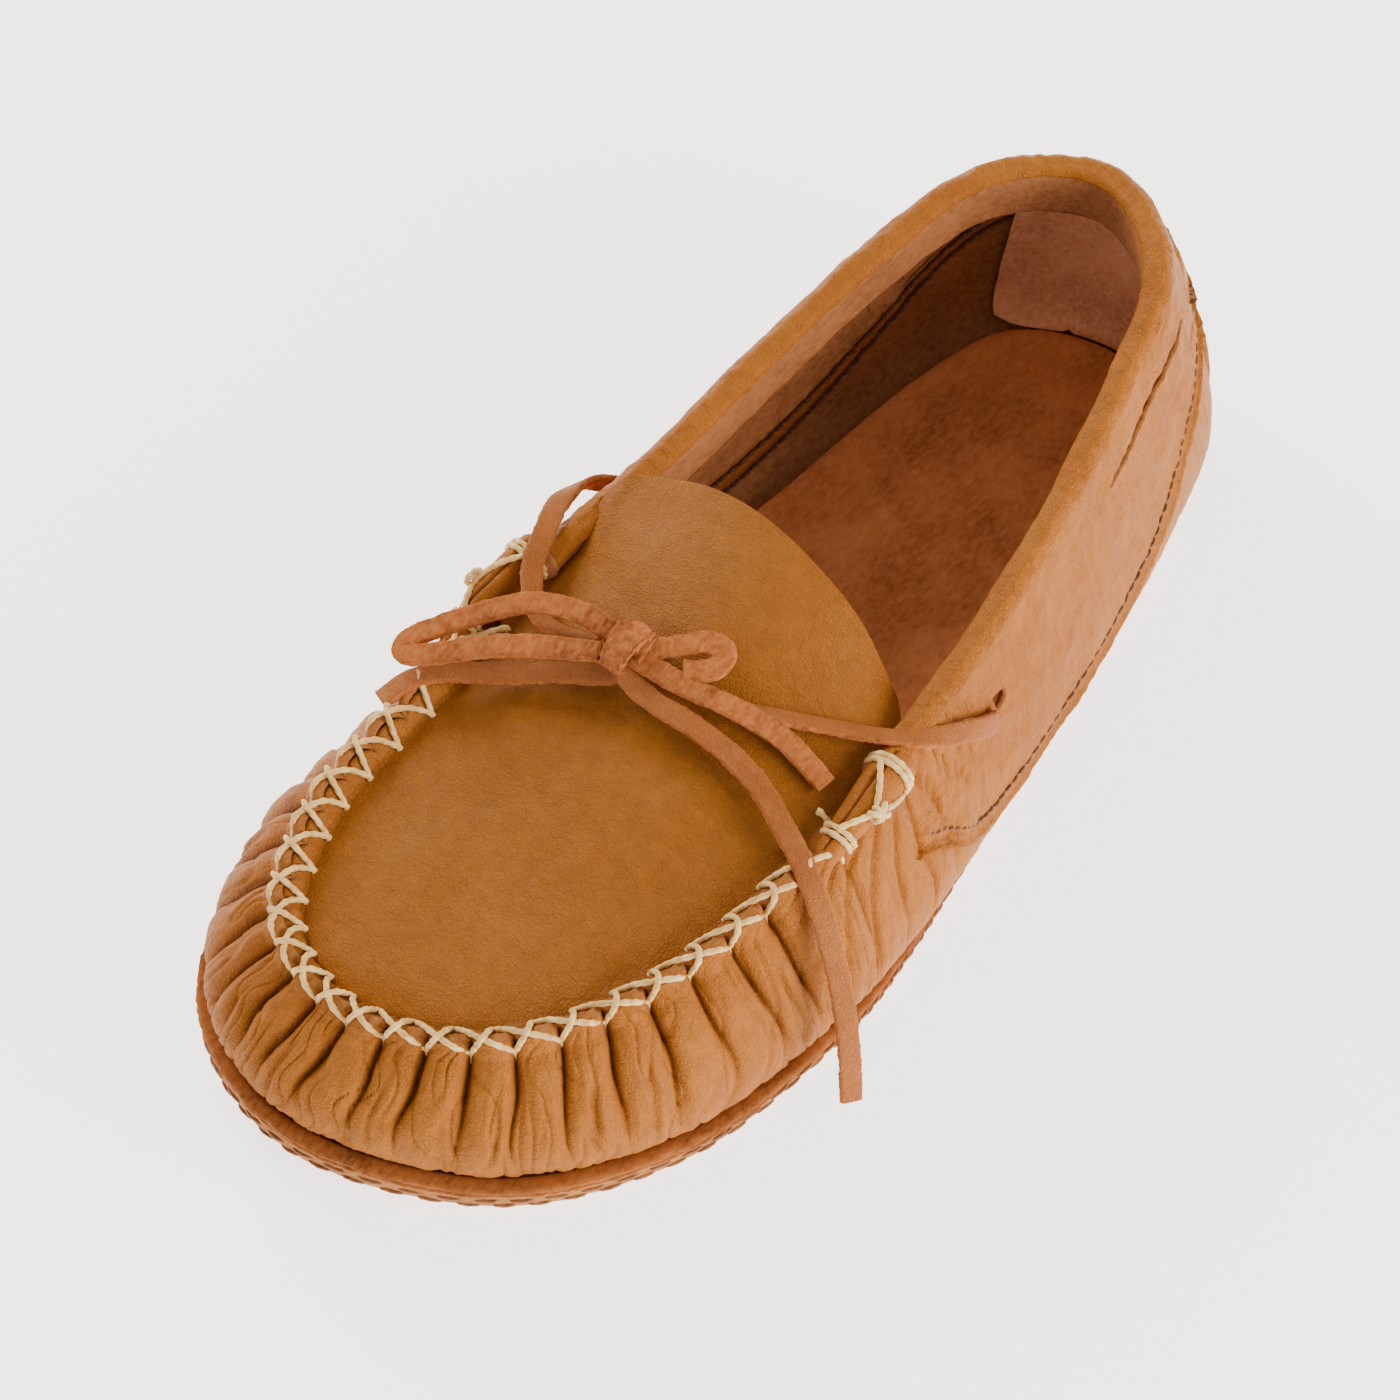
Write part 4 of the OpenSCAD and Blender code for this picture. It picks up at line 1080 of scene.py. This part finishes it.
# ---------------------------------------------------------------- heel pieces
def add_heel():
    q = np.linspace(1, -1, 260)
    rows = np.linspace(0, 1, 60)[None]
    u = (1.12 * q)[:, None] * (1 - 0.3 * rows)
    notch = np.exp(-((q + 0.42) / 0.035) ** 2) * 0.05
    low = 0.035 + 0.17 * np.abs(q) ** 5 + notch
    v = low[:, None] + (0.78 - low)[:, None] * rows
    rough = 0.35 * fractal(u * 9, v * 12, 95)
    hang = 0.45 * np.sin(u * 24 + noise(u * 5, 0.5, 96) * 2) * smooth((rows - 0.6) / 0.4)
    curl = 1.1 * smooth(1 - rows / 0.1)
    face = side(u % N, v, UPPER_T + 2.1 + rough + hang + curl)
    back = side(u % N, v, UPPER_T + 1.0 + rough * 0.5)
    obj = shell("heel_lining_flap", face[::-1], back[::-1], [HEEL_MAT_LIT, HEEL_MAT_LIT, RAW],
                attrs={"painted_shade": 0 * rough})
    hold(obj, SHOE, "insole_suede", "heel_lining")
    u = np.linspace(0.78, -0.78, 160)
    top = mix(0.68, 0.5, (u / 0.78) ** 2)
    v = 0.1 + (top - 0.1)[:, None] * np.linspace(0, 1, 60)[None]
    uu = np.repeat((u % N)[:, None], 60, 1)
    rough = 0.15 * fractal(u[:, None] * 12, v * 9, 97)
    jag = 0.03 * noise(u * 30, 0.5, 98)
    v = v + jag[:, None] * smooth((np.linspace(0, 1, 60) - 0.9) / 0.1)[None] * 0.3
    obj = shell("heel_patch_piece", side(uu, v, -1.7 + rough), side(uu, v, -0.3), [TAN, INSIDE, RAW],
                attrs={"painted_shade": 0 * rough})
    hold(obj, SHOE, "upper_leather", "heel_patch")

    def edge(s):
        uu = mix(0.7, -0.7, s)
        vv = mix(0.64, 0.47, (uu / 0.78) ** 2)
        return side(uu % N, vv, -1.6), side_frame(uu % N, vv)[1]
    dash_rows(edge, 18, 0.72, BROWN, "patch_stitches", [], FINE_D, "brown_thread")


def add_studio():
    scene = bpy.context.scene
    mesh = bpy.data.meshes.new("floor")
    mesh.from_pydata([(-4, -4, 0), (4, -4, 0), (4, 4, 0), (-4, 4, 0)], [], [(0, 1, 2, 3)])
    floor = bpy.data.objects.new("floor", mesh)
    scene.collection.objects.link(floor)
    m = Nodes("floor_white", 0.8, spec=0.1)
    m.bsdf.inputs["Emission Color"].default_value = (1, 1, 1, 1)
    m.bsdf.inputs["Emission Strength"].default_value = 2.2
    pale = m.blend(m.ramp(m.noise(2, 2), 0, 1), (0.93, 0.93, 0.93, 1), (0.95, 0.95, 0.95, 1))
    mesh.materials.append(m.done(pale))
    for name, power, size, place, colour in (
            ("left", 27, 0.8, (-1.2, 0.3, 0.7), (1, 0.93, 0.78)),
            ("right", 28, 0.8, (1.25, 0.2, 0.5), (1, 0.93, 0.78)),
            ("front", 2, 1.2, (-0.2, -1.4, 0.7), (1, 0.97, 0.92))):
        data = bpy.data.lights.new(name, "AREA")
        data.energy, data.size, data.color = power, size, colour
        lamp = bpy.data.objects.new(name, data)
        scene.collection.objects.link(lamp)
        lamp.matrix_world = (Matrix.Translation(place)
                             @ (-Vector(place)).to_track_quat("-Z", "Y").to_matrix().to_4x4())
    world = bpy.data.worlds.new("studio")
    world.use_nodes = True
    world.node_tree.nodes["Background"].inputs[0].default_value = (1, 0.96, 0.88, 1)
    world.node_tree.nodes["Background"].inputs[1].default_value = 0.7
    scene.world = world


add_camera()
add_tails()
add_lace()
add_sole()
add_bed()
add_wrap()
add_rear()
add_apron()
add_seam_ties()
add_apron_stitches()
add_seam_rows()
add_sole_stitches()
add_heel()
add_studio()
